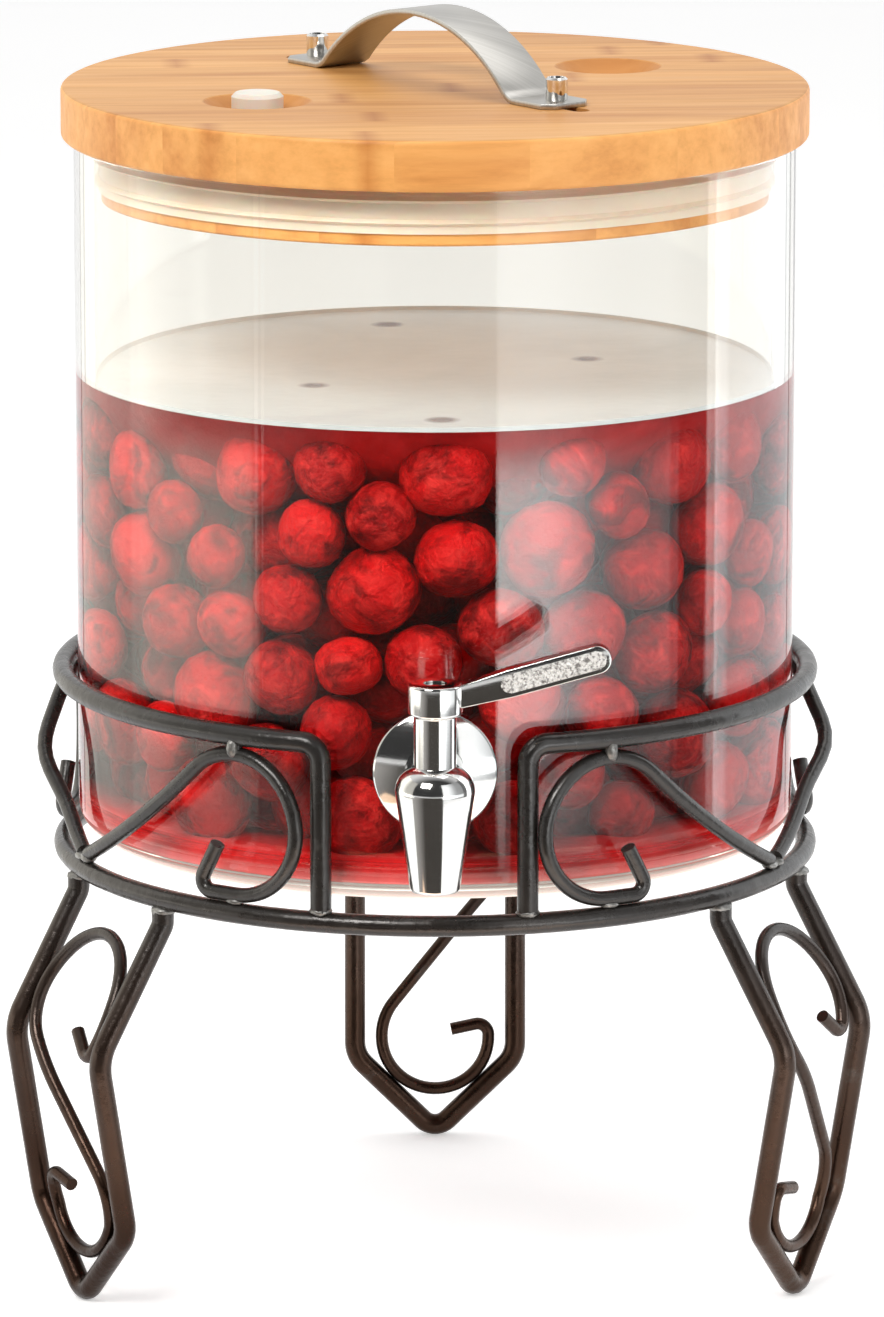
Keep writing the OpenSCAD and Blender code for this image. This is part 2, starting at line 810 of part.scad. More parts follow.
// Lever: a round hub, a tapered neck and a flat grip with a sunk panel on both sides
module lever() {
    edge = 0.8;
    hub = concat(
        [[stem_r + weld_gap, 0]],
        arc([hub_d / 2 - edge, edge], edge, -90, 0, bend_steps),
        arc([hub_d / 2 - edge, hub_h - edge], edge, 0, 90, bend_steps),
        [[stem_r + weld_gap, hub_h]]
    );
    far = lever_l / cos(lever_angle) - grip_h / 2;
    near = far - grip_l + grip_h;
    neck_low = grip_h / 3;
    lever_low = hub_h / 2 - 1;
    steel() on_spout() translate([0, 0, hub_up]) union() {
        rotate_extrude() polygon(hub);
        difference() {
            translate([0, grip_t / 2, lever_low]) rotate([0, -lever_angle, 0])
                rotate([90, 0, 0]) difference() {
                    linear_extrude(grip_t) union() {
                        translate([near, 0]) stadium(far - near, grip_h);
                        polygon([[0, -neck_low], [near, -grip_h / 2], [near, grip_h / 2], [0, neck_low]]);
                    }
                    for (z = [-1, grip_t - panel_sink])
                        translate([near, 0, z]) linear_extrude(panel_sink + 1)
                            stadium(far - near, grip_h - 2 * panel_rim);
                }
            translate([0, 0, -hub_h]) cylinder(r = stem_r + weld_gap, h = 3 * hub_h);
        }
    }
}

module lever_screw() {
    steel() on_spout() translate([0, 0, stem_top + weld_gap]) {
        cylinder(d = lever_screw_head, h = lever_screw_head_h);
        translate([0, 0, -lever_screw_l]) cylinder(d = lever_screw_d, h = lever_screw_l + weld_gap);
    }
}

// Round board with rounded edges; the strap's slots and the two dished vents are cut in it
module lid_board() {
    edge = lid_edge_round;
    profile = concat(
        [[0, 0]],
        arc([lid_r - edge, edge], edge, -90, 0, bend_steps),
        arc([lid_r - edge, lid_t - edge], edge, 0, 90, bend_steps),
        [[0, lid_t]]
    );
    bamboo() difference() {
        translate([0, 0, rim_z]) rotate_extrude() polygon(profile);
        at_vents() {
            translate([0, 0, rim_z - 1]) cylinder(d = vent_d, h = lid_t + 2);
            translate([0, 0, dish_low]) rotate_extrude() dish();
        }
        at_studs() {
            translate([0, 0, rim_z - 1]) linear_extrude(lid_t + 2) stadium(slot_travel, slot_w);
            translate([0, 0, rim_z - 1]) linear_extrude(pocket_h + 1)
                stadium(slot_travel, nut_w / cos(30) + 2 * slide_gap);
        }
    }
}

// Half section of a vent's dish: a flat floor with a slope up to the board
module dish() {
    floor_r = (stopper_head_d + dish_d) / 4;
    polygon([
        [0, 0],
        [floor_r, 0],
        [dish_d / 2, dish_depth],
        [dish_d / 2, dish_depth + 1],
        [0, dish_depth + 1]
    ]);
}

module at_vents() {
    for (side = [-1, 1]) translate([side * vent_x, side * vent_y, 0]) children();
}

// Places children at each strap screw, with x pointing along the strap to its free end
module at_studs() {
    for (turn = [0, 180]) rotate([0, 0, strap_turn + turn]) translate([stud_s, 0, 0]) children();
}

// Plug under the board, with a lip that keeps the seal from slipping off
module lid_plug() {
    edge = 0.8;
    profile = concat(
        [[0, plug_low]],
        arc([plug_r - edge, plug_low + edge], edge, -90, 0, bend_steps),
        [[plug_r, groove_low], [groove_r, groove_low], [groove_r, rim_z], [0, rim_z]]
    );
    bamboo() difference() {
        rotate_extrude() polygon(profile);
        at_vents() translate([0, 0, plug_low - 1]) cylinder(d = vent_d, h = plug_depth + 2);
    }
}

// Ribbed band that seals the plug in the glass
module lid_seal() {
    low = groove_low + weld_gap;
    high = rim_z - seat_gap;
    proud = 0.6;
    band_r = plug_r + proud;
    tip_r = bore_r - seal_gap;
    ribs = 2;
    pitch = (high - low) / ribs;
    teeth = [for (i = [0 : ribs - 1]) let (z = low + pitch * (i + 0.5))
        each [[band_r, z - seal_rib_h / 2], [tip_r, z], [band_r, z + seal_rib_h / 2]]];
    inner_r = groove_r + weld_gap;
    profile = concat([[inner_r, low], [band_r, low]], teeth, [[band_r, high], [inner_r, high]]);
    rubber() rotate_extrude() polygon(profile);
}

// One face of the strap, from the middle of the arch to the free end of a foot
function strap_face(lift) =
    let (
        foot_x = strap_span / 2,
        arch = arc([0, strap_mid + strap_rise - arch_r], arch_r + lift, 90, 90 - arch_end, arch_steps),
        turn = arc([foot_x, strap_mid + strap_bend], strap_bend - lift, 270 - arch_end, 270, bend_steps)
    )
    concat(arch, [for (i = [1 : bend_steps]) turn[i]], [[foot_x + strap_foot, strap_mid + lift]]);

// Sprung strap: an arch, a bend at each end and two flat feet with trimmed corners
module handle_strap() {
    half_l = strap_span / 2 + strap_foot;
    corner = strap_w / 4;
    top = strap_face(strap_mid);
    under = strap_face(-strap_mid);
    last = len(top) - 1;
    outline = concat(
        [for (i = [last : -1 : 1]) [-top[i][0], top[i][1]]],
        top,
        [for (i = [last : -1 : 1]) under[i]],
        [for (p = under) [-p[0], p[1]]]
    );
    steel() translate([0, 0, lid_top]) rotate([0, 0, strap_turn]) difference() {
        translate([0, strap_w / 2, 0]) rotate([90, 0, 0]) linear_extrude(strap_w) polygon(outline);
        for (end = [-1, 1], edge = [-1, 1]) translate([end * half_l, edge * strap_w / 2, 0])
            rotate([0, 0, 45]) cube([corner, corner, 4 * strap_t], center = true);
        for (end = [-1, 1]) translate([end * stud_s, 0, -strap_t])
            cylinder(r = screw_d / 2 + slide_gap, h = 3 * strap_t);
    }
}

module handle_screws() {
    foot = rim_z + slide_gap;
    steel() at_studs() {
        translate([0, 0, lid_top + strap_t]) cylinder(d = stud_d, h = stud_h);
        translate([0, 0, foot]) cylinder(d = screw_d, h = lid_top + strap_t - foot);
    }
}

module handle_nuts() {
    steel() at_studs() translate([0, 0, rim_z + slide_gap]) difference() {
        cylinder(d = nut_w / cos(30), h = nut_t, $fn = 6);
        translate([0, 0, -1]) cylinder(r = screw_d / 2 + thread_gap, h = nut_t + 2);
    }
}

// Soft tapered stopper in the front vent
module vent_stopper() {
    top_r = vent_d / 2 - stopper_gap;
    head_r = stopper_head_d / 2;
    lead = 1;
    profile = [
        [0, -stopper_shank_l],
        [top_r - stopper_taper / 2, -stopper_shank_l],
        [top_r, 0],
        [head_r - lead / 2, 0],
        [head_r, lead],
        [head_r, stopper_head_h - lead],
        [head_r - lead, stopper_head_h],
        [0, stopper_head_h]
    ];
    rubber() translate([-vent_x, -vent_y, dish_low + seat_gap]) rotate_extrude() polygon(profile);
}

lower_ring();
upper_ring();
rest_bar_left();
rest_bar_right();
gallery_scroll_left_1();
gallery_scroll_left_2();
gallery_scroll_left_3();
gallery_scroll_right_1();
gallery_scroll_right_2();
gallery_scroll_right_3();
leg_back();
leg_left();
leg_right();
leg_scroll_back();
leg_scroll_left();
leg_scroll_right();
jar();
tap_body();
tap_flange();
outer_washer();
inner_washer();
lock_nut();
bonnet();
valve_core();
core_rings();
lever();
lever_screw();
lid_board();
lid_plug();
lid_seal();
handle_strap();
handle_screws();
handle_nuts();
vent_stopper();
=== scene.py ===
import json
import math
import bmesh
import bpy
import numpy as np
from mathutils import Matrix, Vector


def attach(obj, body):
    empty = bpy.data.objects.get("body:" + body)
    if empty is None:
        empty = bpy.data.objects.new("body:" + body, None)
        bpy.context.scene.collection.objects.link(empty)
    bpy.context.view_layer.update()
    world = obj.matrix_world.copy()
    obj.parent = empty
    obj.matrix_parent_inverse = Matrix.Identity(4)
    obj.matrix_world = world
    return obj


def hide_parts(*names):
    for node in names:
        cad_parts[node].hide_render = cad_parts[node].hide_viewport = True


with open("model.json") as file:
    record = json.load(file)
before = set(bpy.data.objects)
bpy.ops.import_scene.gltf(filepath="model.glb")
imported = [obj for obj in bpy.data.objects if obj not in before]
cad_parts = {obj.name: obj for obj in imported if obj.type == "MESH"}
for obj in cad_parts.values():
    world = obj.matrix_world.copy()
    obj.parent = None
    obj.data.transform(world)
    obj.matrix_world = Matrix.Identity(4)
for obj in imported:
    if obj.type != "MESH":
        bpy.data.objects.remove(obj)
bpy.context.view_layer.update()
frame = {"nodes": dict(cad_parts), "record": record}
scene = bpy.context.scene
scene.view_settings.view_transform = "Standard"
mm = 0.001
print("frame loaded")

# Camera: fitted to the lid's ellipse, the rings and the feet
view = {"distance": 2.300, "height": 0.659, "pitch": 12.2, "lens": 241.7, "sensor": 36,
        "shiftX": 0.0053, "shiftY": -0.0034, "clipEnd": 60}
camera = bpy.data.objects.new("camera", bpy.data.cameras.new("camera"))
camera.location = (0, -view["distance"], view["height"])
camera.rotation_euler = (math.radians(90 - view["pitch"]), 0, 0)
camera.data.lens = view["lens"]
camera.data.sensor_width = view["sensor"]
camera.data.shift_x = view["shiftX"]
camera.data.shift_y = view["shiftY"]
camera.data.clip_end = view["clipEnd"]
scene.collection.objects.link(camera)
scene.camera = camera


# A link where the value is a socket, else a constant on the socket itself
def plug(tree, socket, value):
    if isinstance(value, bpy.types.NodeSocket):
        tree.links.new(value, socket)
    else:
        socket.default_value = value


def node(tree, kind, feeds=None, **settings):
    made = tree.nodes.new("ShaderNode" + kind)
    for key, value in settings.items():
        setattr(made, key, value)
    for key, value in (feeds or {}).items():
        plug(tree, made.inputs[key], value)
    return made


# Each stop is a place and a colour, or a place and one number for a grey
def ramp(tree, factor, stops):
    made = node(tree, "ValToRGB", {"Fac": factor})
    marks = made.color_ramp.elements
    while len(marks) < len(stops):
        marks.new(0.5)
    for mark, (at, colour) in zip(marks, stops):
        mark.position = at
        mark.color = (*colour, 1) if isinstance(colour, tuple) else (colour, colour, colour, 1)
    return made.outputs["Color"]


def blend(tree, factor, a, b, mode="MIX"):
    made = node(tree, "Mix", {0: factor}, data_type="RGBA", blend_type=mode)
    for socket, value in ((made.inputs[6], a), (made.inputs[7], b)):
        plug(tree, socket, (*value, 1) if isinstance(value, tuple) else value)
    return made.outputs[2]


def sums(tree, how, a, b=0.0):
    return node(tree, "Math", {0: a, 1: b}, operation=how).outputs[0]


def objectSpot(tree):
    return node(tree, "TexCoord").outputs["Object"]


def mapped(tree, spot, scale=(1, 1, 1), turn=0.0):
    return node(tree, "Mapping", {"Vector": spot, "Scale": scale, "Rotation": (0, 0, turn)}).outputs["Vector"]


def place(tree, scale=(1, 1, 1), turn=0.0):
    return mapped(tree, objectSpot(tree), scale, turn)


def axesOf(tree, spot):
    return node(tree, "SeparateXYZ", {"Vector": spot}).outputs


# Distance from the jar's axis
def fromAxis(tree, axes):
    flat = node(tree, "CombineXYZ", {"X": axes["X"], "Y": axes["Y"]}).outputs["Vector"]
    return node(tree, "VectorMath", {0: flat}, operation="LENGTH").outputs["Value"]


def noise(tree, where, scale, detail=4.0, rough=0.55, warp=0.0):
    feeds = {"Vector": where, "Scale": scale, "Detail": detail, "Roughness": rough, "Distortion": warp}
    return node(tree, "TexNoise", feeds).outputs["Fac"]


def bump(tree, height, strength, distance, under=None):
    feeds = {"Height": height, "Strength": strength, "Distance": distance}
    if under is not None:
        feeds["Normal"] = under
    return node(tree, "Bump", feeds).outputs["Normal"]


def material(name):
    made = bpy.data.materials.new(name)
    made.use_nodes = True
    return made, made.node_tree, made.node_tree.nodes["Principled BSDF"]


def feed(tree, shader, **values):
    for key, value in values.items():
        plug(tree, shader.inputs[key.replace("_", " ")], value)


# One shader or the other at the material's surface
def surface(tree, factor, first, second):
    mix = node(tree, "MixShader", {0: factor, 1: first.outputs[0], 2: second.outputs[0]})
    tree.links.new(mix.outputs[0], tree.nodes["Material Output"].inputs["Surface"])


# Lamps shine straight through: shadow rays meet a clear surface
def letLampsThrough(tree, shader, tint):
    clear = node(tree, "BsdfTransparent", {"Color": (*tint, 1)})
    surface(tree, node(tree, "LightPath").outputs["Is Shadow Ray"], shader, clear)


# Uneven shine that the satin finishes share: noise stretched between two values of roughness
def shineGroup():
    made = bpy.data.node_groups.new("uneven_shine", "ShaderNodeTree")
    made.interface.new_socket(name="Vector", in_out="INPUT", socket_type="NodeSocketVector")
    for name in ("Scale", "Detail", "Grain", "Start", "End", "Low", "High"):
        made.interface.new_socket(name=name, in_out="INPUT", socket_type="NodeSocketFloat")
    made.interface.new_socket(name="Roughness", in_out="OUTPUT", socket_type="NodeSocketFloat")
    given = made.nodes.new("NodeGroupInput").outputs
    cloud = noise(made, given["Vector"], given["Scale"], given["Detail"], given["Grain"])
    span = {"Value": cloud, "From Min": given["Start"], "From Max": given["End"],
            "To Min": given["Low"], "To Max": given["High"]}
    rough = node(made, "MapRange", span).outputs["Result"]
    made.links.new(rough, made.nodes.new("NodeGroupOutput").inputs["Roughness"])
    return made


unevenShine = shineGroup()


def shineOver(tree, spot, scale, detail, low, high, end=0.7, grain=0.55):
    feeds = {"Vector": spot, "Scale": scale, "Detail": detail, "Grain": grain,
             "Start": 0.3, "End": end, "Low": low, "High": high}
    made = tree.nodes.new("ShaderNodeGroup")
    made.node_tree = unevenShine
    feed(tree, made, **feeds)
    return made.outputs["Roughness"]


# Satin dark lacquer, browner and more metallic down the legs, worn paler here and there
def ironLook():
    made, tree, shader = material("iron")
    spot = place(tree)
    low = ramp(tree, axesOf(tree, spot)["Z"], [(0.035, 1), (0.085, 0.6), (0.118, 0.12)])
    brown = ramp(tree, noise(tree, spot, 16, 3), [(0.38, (0.026, 0.012, 0.007)), (0.64, (0.062, 0.034, 0.022))])
    mottle = noise(tree, spot, 160, 6, 0.65)
    base = ramp(tree, mottle, [(0.3, (0.010, 0.0095, 0.009)), (0.7, (0.027, 0.026, 0.024))])
    base = blend(tree, low, base, brown)
    worn = ramp(tree, noise(tree, spot, 60, 5, 0.7), [(0.62, 0), (0.74, 0.5)])
    base = blend(tree, worn, base, (0.10, 0.096, 0.09))
    shine = shineOver(tree, spot, 90, 5, 0.22, 0.36, end=0.75, grain=0.6)
    grain = bump(tree, noise(tree, spot, 700, 3, 0.6), 0.25, 0.0004)
    grain = bump(tree, noise(tree, spot, 120, 2), 0.4, 0.0009, grain)
    metal = sums(tree, "ADD", sums(tree, "MULTIPLY", low, 0.72), 0.18)
    feed(tree, shader, Base_Color=base, Roughness=shine, Normal=grain, Metallic=metal, Specular_IOR_Level=0.75)
    return made


# Weld metal under thin lacquer
def weldLook():
    made, tree, shader = material("weld")
    spot = place(tree)
    base = ramp(tree, noise(tree, spot, 420, 5, 0.7), [(0.3, (0.09, 0.086, 0.08)), (0.7, (0.38, 0.375, 0.36))])
    shine = shineOver(tree, spot, 300, 4, 0.24, 0.45)
    grain = bump(tree, noise(tree, spot, 600, 4), 0.5, 0.0006)
    feed(tree, shader, Base_Color=base, Roughness=shine, Metallic=0.7, Normal=grain)
    return made


# Strips and knuckles to the metre, and where the painted shade of the milled dishes lies: under the top, in the board,
# inside the rim
bamboo = {"turn": -4, "strips": 62.0, "knuckles": 7.0, "stagger": 9.0, "skim": 0.25, "board": 13, "inner": 0.09}


# Strips of bamboo glued side by side, with long fibres and darker knuckles
def bambooLook():
    made, tree, shader = material("bamboo")
    axes = axesOf(tree, place(tree, turn=math.radians(bamboo["turn"])))
    strip = sums(tree, "FLOOR", sums(tree, "MULTIPLY", axes["Y"], bamboo["strips"]))
    tone = node(tree, "TexWhiteNoise", {"W": strip}, noise_dimensions="1D").outputs["Value"]
    drift = {"X": axes["X"], "Y": axes["Y"], "Z": sums(tree, "ADD", axes["Z"], tone)}
    drift = node(tree, "CombineXYZ", drift).outputs["Vector"]
    fibre = noise(tree, mapped(tree, drift, (4, 90, 60)), 3.2, 8, 0.68)
    cloud = noise(tree, mapped(tree, drift, (2.2, 26, 20)), 2.0, 4, 0.6, 0.4)
    base = ramp(tree, fibre, [(0.25, (0.56, 0.265, 0.075)), (0.5, (0.68, 0.350, 0.112)), (0.8, (0.76, 0.435, 0.160))])
    streak = ramp(tree, cloud, [(0.30, (0.74, 0.60, 0.48)), (0.55, 1), (0.8, (1.04, 1.02, 0.98))])
    base = blend(tree, 0.85, base, streak, "MULTIPLY")
    shade = ramp(tree, tone, [(0.0, (0.86, 0.80, 0.74)), (1.0, (1.06, 1.04, 1.0))])
    base = blend(tree, 0.5, base, shade, "MULTIPLY")
    stagger = sums(tree, "MULTIPLY", tone, bamboo["stagger"])
    knuckle = sums(tree, "ADD", sums(tree, "MULTIPLY", axes["X"], bamboo["knuckles"]), stagger)
    knuckle = sums(tree, "ABSOLUTE", sums(tree, "SUBTRACT", sums(tree, "FRACT", knuckle), 0.5))
    base = blend(tree, 0.8, base, ramp(tree, knuckle, [(0.0, (0.70, 0.55, 0.42)), (0.03, 1)]), "MULTIPLY")
    # Painted shade makes the milled dishes and slots browner; painted light makes the rim and plug paler
    deep = sums(tree, "LESS_THAN", axes["Z"], (handle["lid"] - bamboo["skim"]) * mm)
    inner = sums(tree, "LESS_THAN", fromAxis(tree, axes), bamboo["inner"])
    board = sums(tree, "GREATER_THAN", axes["Z"], (handle["lid"] - bamboo["board"]) * mm)
    dishShade = sums(tree, "MULTIPLY", sums(tree, "MULTIPLY", deep, inner), board)
    base = blend(tree, sums(tree, "MULTIPLY", dishShade, 0.55), base, (0.50, 0.19, 0.045))
    # Painted light: the rim and the plug are brightened
    rim = sums(tree, "SUBTRACT", deep, dishShade)
    base = blend(tree, rim, base, blend(tree, 1.0, base, (1.36, 1.28, 1.22), "MULTIPLY"))
    shine = ramp(tree, fibre, [(0.3, 0.50), (0.8, 0.38)])
    grain = bump(tree, fibre, 0.3, 0.0003)
    feed(tree, shader, Base_Color=base, Roughness=shine, Normal=grain, Specular_IOR_Level=0.3)
    return made


# Mirror chrome with faint polishing marks
def chromeLook():
    made, tree, shader = material("chrome")
    marks = noise(tree, place(tree, (1, 1, 14)), 240, 4, 0.7)
    shine = ramp(tree, marks, [(0.35, 0.07), (0.75, 0.13)])
    base = ramp(tree, noise(tree, place(tree), 70, 3), [(0.3, (0.72, 0.715, 0.70)), (0.7, (0.80, 0.795, 0.785))])
    feed(tree, shader, Base_Color=base, Roughness=shine, Metallic=1.0, Normal=bump(tree, marks, 0.02, 0.0001))
    return made


# Satin metal between the points of the grip's knurl
def knurlLook():
    made, tree, shader = material("knurl")
    spot = place(tree)
    speckle = noise(tree, spot, 900, 4, 0.7)
    base = ramp(tree, speckle, [(0.40, (0.22, 0.21, 0.20)), (0.52, (0.80, 0.79, 0.77)), (0.7, (0.95, 0.94, 0.92))])
    shine = shineOver(tree, spot, 500, 3, 0.30, 0.5)
    grain = bump(tree, noise(tree, spot, 1500, 2), 0.4, 0.0003)
    feed(tree, shader, Base_Color=base, Roughness=shine, Metallic=0.25, Normal=grain)
    return made


# Steel brushed along the strap
def steelLook(turn):
    made, tree, shader = material("brushed_steel")
    lines = noise(tree, place(tree, (6, 900, 6), turn), 1.6, 6, 0.7)
    cloud = ramp(tree, noise(tree, place(tree), 45, 3), [(0.3, (0.85, 0.83, 0.80)), (0.7, 1)])
    base = ramp(tree, lines, [(0.3, (0.40, 0.39, 0.37)), (0.7, (0.55, 0.54, 0.52))])
    base = blend(tree, 0.4, base, cloud, "MULTIPLY")
    shine = ramp(tree, lines, [(0.3, 0.30), (0.7, 0.44)])
    grain = bump(tree, lines, 0.12, 0.0002)
    feed(tree, shader, Base_Color=base, Roughness=shine, Metallic=1.0, Anisotropic=0.5, Normal=grain)
    return made


# Milky silicone between two tones
def siliconeLook(name, deep, pale):
    made, tree, shader = material(name)
    spot = place(tree)
    base = ramp(tree, noise(tree, spot, 60, 4), [(0.3, deep), (0.7, pale)])
    shine = shineOver(tree, spot, 220, 3, 0.34, 0.48)
    grain = bump(tree, noise(tree, spot, 900, 2), 0.1, 0.0002)
    feed(tree, shader, Base_Color=base, Roughness=shine, Normal=grain, Subsurface_Weight=0.35, Subsurface_Scale=0.004)
    return made


# Black nitrile
def rubberLook():
    made, tree, shader = material("black_rubber")
    spot = place(tree)
    base = ramp(tree, noise(tree, spot, 200, 4), [(0.3, (0.018, 0.018, 0.019)), (0.7, (0.034, 0.034, 0.035))])
    feed(tree, shader, Base_Color=base, Roughness=shineOver(tree, spot, 400, 3, 0.45, 0.65))
    return made


# Clear glass with a few faint smears
def glassLook():
    made, tree, shader = material("glass")
    spot = place(tree, (1, 1, 0.35))
    smear = ramp(tree, noise(tree, spot, 22, 4, 0.6, 0.6), [(0.62, 0.0), (0.9, 0.03)])
    tint = ramp(tree, noise(tree, spot, 9, 2), [(0.3, (0.943, 0.932, 0.893)), (0.7, (0.962, 0.954, 0.924))])
    # Painted light: the thick base glows cream near its outside, standing in for the light it gathers from below
    axes = axesOf(tree, objectSpot(tree))
    wall = sums(tree, "GREATER_THAN", fromAxis(tree, axes), 0.0875)
    paintedBaseGlow = blend(tree, wall, (0, 0, 0), ramp(tree, axes["Z"], [(0.1203, (0.74, 0.72, 0.62)), (0.1213, 0)]))
    cloudy = ramp(tree, axes["Z"], [(0.1200, 0.30), (0.1212, 0)])
    feed(tree, shader, Base_Color=tint, Roughness=sums(tree, "ADD", smear, cloudy), IOR=1.45, Transmission_Weight=1.0)
    feed(tree, shader, Emission_Color=paintedBaseGlow, Emission_Strength=1.1)
    letLampsThrough(tree, shader, (0.97, 0.98, 0.975))
    return made


# Red drink: clear surface round a body that swallows green and blue
def drinkLook():
    made, tree, shader = material("drink")
    tint = ramp(tree, noise(tree, place(tree), 30, 3), [(0.3, (1.0, 0.90, 0.88)), (0.7, (1.0, 0.95, 0.93))])
    feed(tree, shader, Base_Color=tint, Roughness=0.0, IOR=1.333, Transmission_Weight=1.0)
    letLampsThrough(tree, shader, (1.0, 0.95, 0.94))
    body = node(tree, "VolumeAbsorption", {"Color": (0.86, 0.03, 0.035, 1), "Density": 42.0})
    tree.links.new(body.outputs[0], tree.nodes["Material Output"].inputs["Volume"])
    return made


# Skin of thin froth on top of the drink
def frothLook():
    made, tree, shader = material("froth")
    spot = place(tree)
    foam = noise(tree, spot, 14, 5, 0.6, 0.5)
    base = ramp(tree, foam, [(0.3, (0.70, 0.75, 0.78)), (0.6, (0.82, 0.88, 0.91)), (0.8, (0.90, 0.95, 0.98))])
    speck = node(tree, "TexVoronoi", {"Vector": spot, "Scale": 22.0, "Randomness": 1.0}).outputs["Distance"]
    base = blend(tree, ramp(tree, speck, [(0.05, 1), (0.11, 0)]), base, (0.20, 0.12, 0.12))
    # Painted shade: greyer towards the front, where the lamps reach in under the lid
    back = sums(tree, "ADD", axesOf(tree, spot)["Y"], 0.5)
    base = blend(tree, 1.0, base, ramp(tree, back, [(0.42, 0.74), (0.47, 0.86), (0.50, 1)]), "MULTIPLY")
    grain = bump(tree, noise(tree, spot, 260, 4), 0.15, 0.0005)
    feed(tree, shader, Base_Color=base, Roughness=0.22, Normal=grain, Specular_IOR_Level=0.6)
    return made


# Red clouds of pulp: under the froth, and as dregs on the jar's floor
def pulpLook():
    made, tree, shader = material("pulp")
    spot = place(tree, (1, 1, 0.6))
    cloud = noise(tree, spot, 45, 5, 0.65, 0.5)
    base = ramp(tree, cloud, [(0.3, (0.40, 0.006, 0.008)), (0.5, (0.56, 0.014, 0.016)), (0.75, (0.74, 0.045, 0.048))])
    grain = bump(tree, noise(tree, spot, 160, 4), 0.6, 0.002)
    feed(tree, shader, Base_Color=base, Roughness=0.8, Specular_IOR_Level=0.1, Normal=grain)
    return made


# Frosted berry skin: bloom in blotches, dents, and one tint for each berry
def berryLook():
    made, tree, shader = material("berry")
    spot = place(tree)
    tint = node(tree, "Attribute", attribute_name="tint").outputs["Fac"]
    skin = ramp(tree, tint, [(0.0, (0.30, 0.004, 0.006)), (0.5, (0.52, 0.007, 0.009)), (1.0, (0.68, 0.013, 0.014))])
    blotch = ramp(tree, noise(tree, spot, 150, 7, 0.75, 0.8), [(0.47, 0), (0.66, 1)])
    base = blend(tree, sums(tree, "MULTIPLY", blotch, 0.72), skin, (0.82, 0.060, 0.052))
    dark = ramp(tree, noise(tree, spot, 80, 5, 0.65, 0.7), [(0.36, (0.20, 0.14, 0.14)), (0.52, 1)])
    base = blend(tree, 0.85, base, dark, "MULTIPLY")
    shine = ramp(tree, blotch, [(0.0, 0.42), (1.0, 0.70)])
    grain = bump(tree, noise(tree, spot, 150, 3, 0.6, 0.3), 0.85, 0.0034)
    grain = bump(tree, noise(tree, spot, 620, 4, 0.65), 0.6, 0.0009, grain)
    feed(tree, shader, Base_Color=base, Roughness=shine, Normal=grain, Specular_IOR_Level=0.1)
    return made


# Strap and screws; the lid's height and the turn also place the bamboo's painted dish shade and rim light, and the
# steel's brushing
handle = {"turn": -51.5, "lid": 315.0, "wide": 15.5, "thick": 1.5, "rise": 18.5, "span": 84, "bend": 6, "foot": 14,
          "trim": 2.74, "edge": 0.35, "sharp": 1.2, "archSteps": 40, "bendSteps": 10,
          "stud": 50.4, "studD": 5.8, "studH": 6, "shank": 4, "down": 13, "studFoot": (0.2, 0.3), "studCut": 0.5,
          "recess": (0.9, 1.1, 1.2), "studTurns": 40}
looks = {
    "iron": ironLook(), "bamboo": bambooLook(), "chrome": chromeLook(),
    "silicone": siliconeLook("silicone", (0.66, 0.62, 0.53), (0.76, 0.73, 0.65)),
    "brushed_steel": steelLook(math.radians(-handle["turn"])), "black_rubber": rubberLook(), "glass": glassLook(),
}
slots = {part["node"]: part["material_slot"] for part in frame["record"]["subparts"]}
for name, solid in frame["nodes"].items():
    solid.data.materials.clear()
    solid.data.materials.append(looks[slots[name]])
frame["nodes"]["lid_seal"].data.materials[0] = siliconeLook("seal", (0.94, 0.75, 0.60), (0.98, 0.84, 0.71))
print("materials made")


def dress(piece, body, look, nodes=()):
    if piece.name not in scene.collection.objects:
        scene.collection.objects.link(piece)
    piece.data.materials.clear()
    piece.data.materials.append(look)
    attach(piece, body)
    if nodes:
        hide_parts(*nodes)
    return piece


def meshOf(name, bm):
    mesh = bpy.data.meshes.new(name)
    bm.to_mesh(mesh)
    bm.free()
    return mesh


def smoothMesh(name, bm):
    for face in bm.faces:
        face.smooth = True
    return meshOf(name, bm)


# One more copy of a pattern in a mesh: its new points
def stamp(bm, pattern):
    bm.from_mesh(pattern)
    bm.verts.ensure_lookup_table()
    return bm.verts[-len(pattern.vertices):]


# Round bar along one or more runs of points, in millimetres
def bars(name, runs, thick, closed=False, sides=5):
    line = bpy.data.curves.new(name, "CURVE")
    line.dimensions = "3D"
    line.bevel_depth = thick / 2 * mm
    line.bevel_resolution = sides
    line.use_fill_caps = True
    for run in runs:
        spline = line.splines.new("POLY")
        spline.points.add(len(run) - 1)
        spline.use_cyclic_u = closed
        spline.use_smooth = True
        for point, at in zip(spline.points, run):
            point.co = (*(Vector(at) * mm), 1)
    return bpy.data.objects.new(name, line)


def arc(centre, radius, start, end, steps):
    turns = [math.radians(start + (end - start) * i / steps) for i in range(steps + 1)]
    return [(centre[0] + radius * math.cos(t), centre[1] + radius * math.sin(t)) for t in turns]


# Points round the corner at b, from the run a-b to the run b-c
def corner(a, b, c, radius, steps=9):
    a, b, c = Vector(a), Vector(b), Vector(c)
    into, away = (b - a).normalized(), (c - b).normalized()
    turn = math.acos(max(-1, min(1, into.dot(away))))
    begin = b - into * radius * math.tan(turn / 2)
    side = (away - into * into.dot(away)).normalized()
    return [begin + radius * (side * (1 - math.cos(turn * i / steps)) + into * math.sin(turn * i / steps))
            for i in range(steps + 1)]


def bent(corners, radii):
    inner = [p for i, r in enumerate(radii) for p in corner(corners[i], corners[i + 1], corners[i + 2], r)]
    return [Vector(corners[0]), *inner, Vector(corners[-1])]


iron = looks["iron"]
stand = {"ringR": 99, "bar": 5.5, "ringZ": 111.7, "upperZ": 158.8, "postLeft": 17.2, "postRight": 13.9, "postBend": 5,
         "weld": 0.05, "ringSteps": 128, "hoopSteps": 120}
ringTop = stand["ringZ"] + stand["bar"] / 2


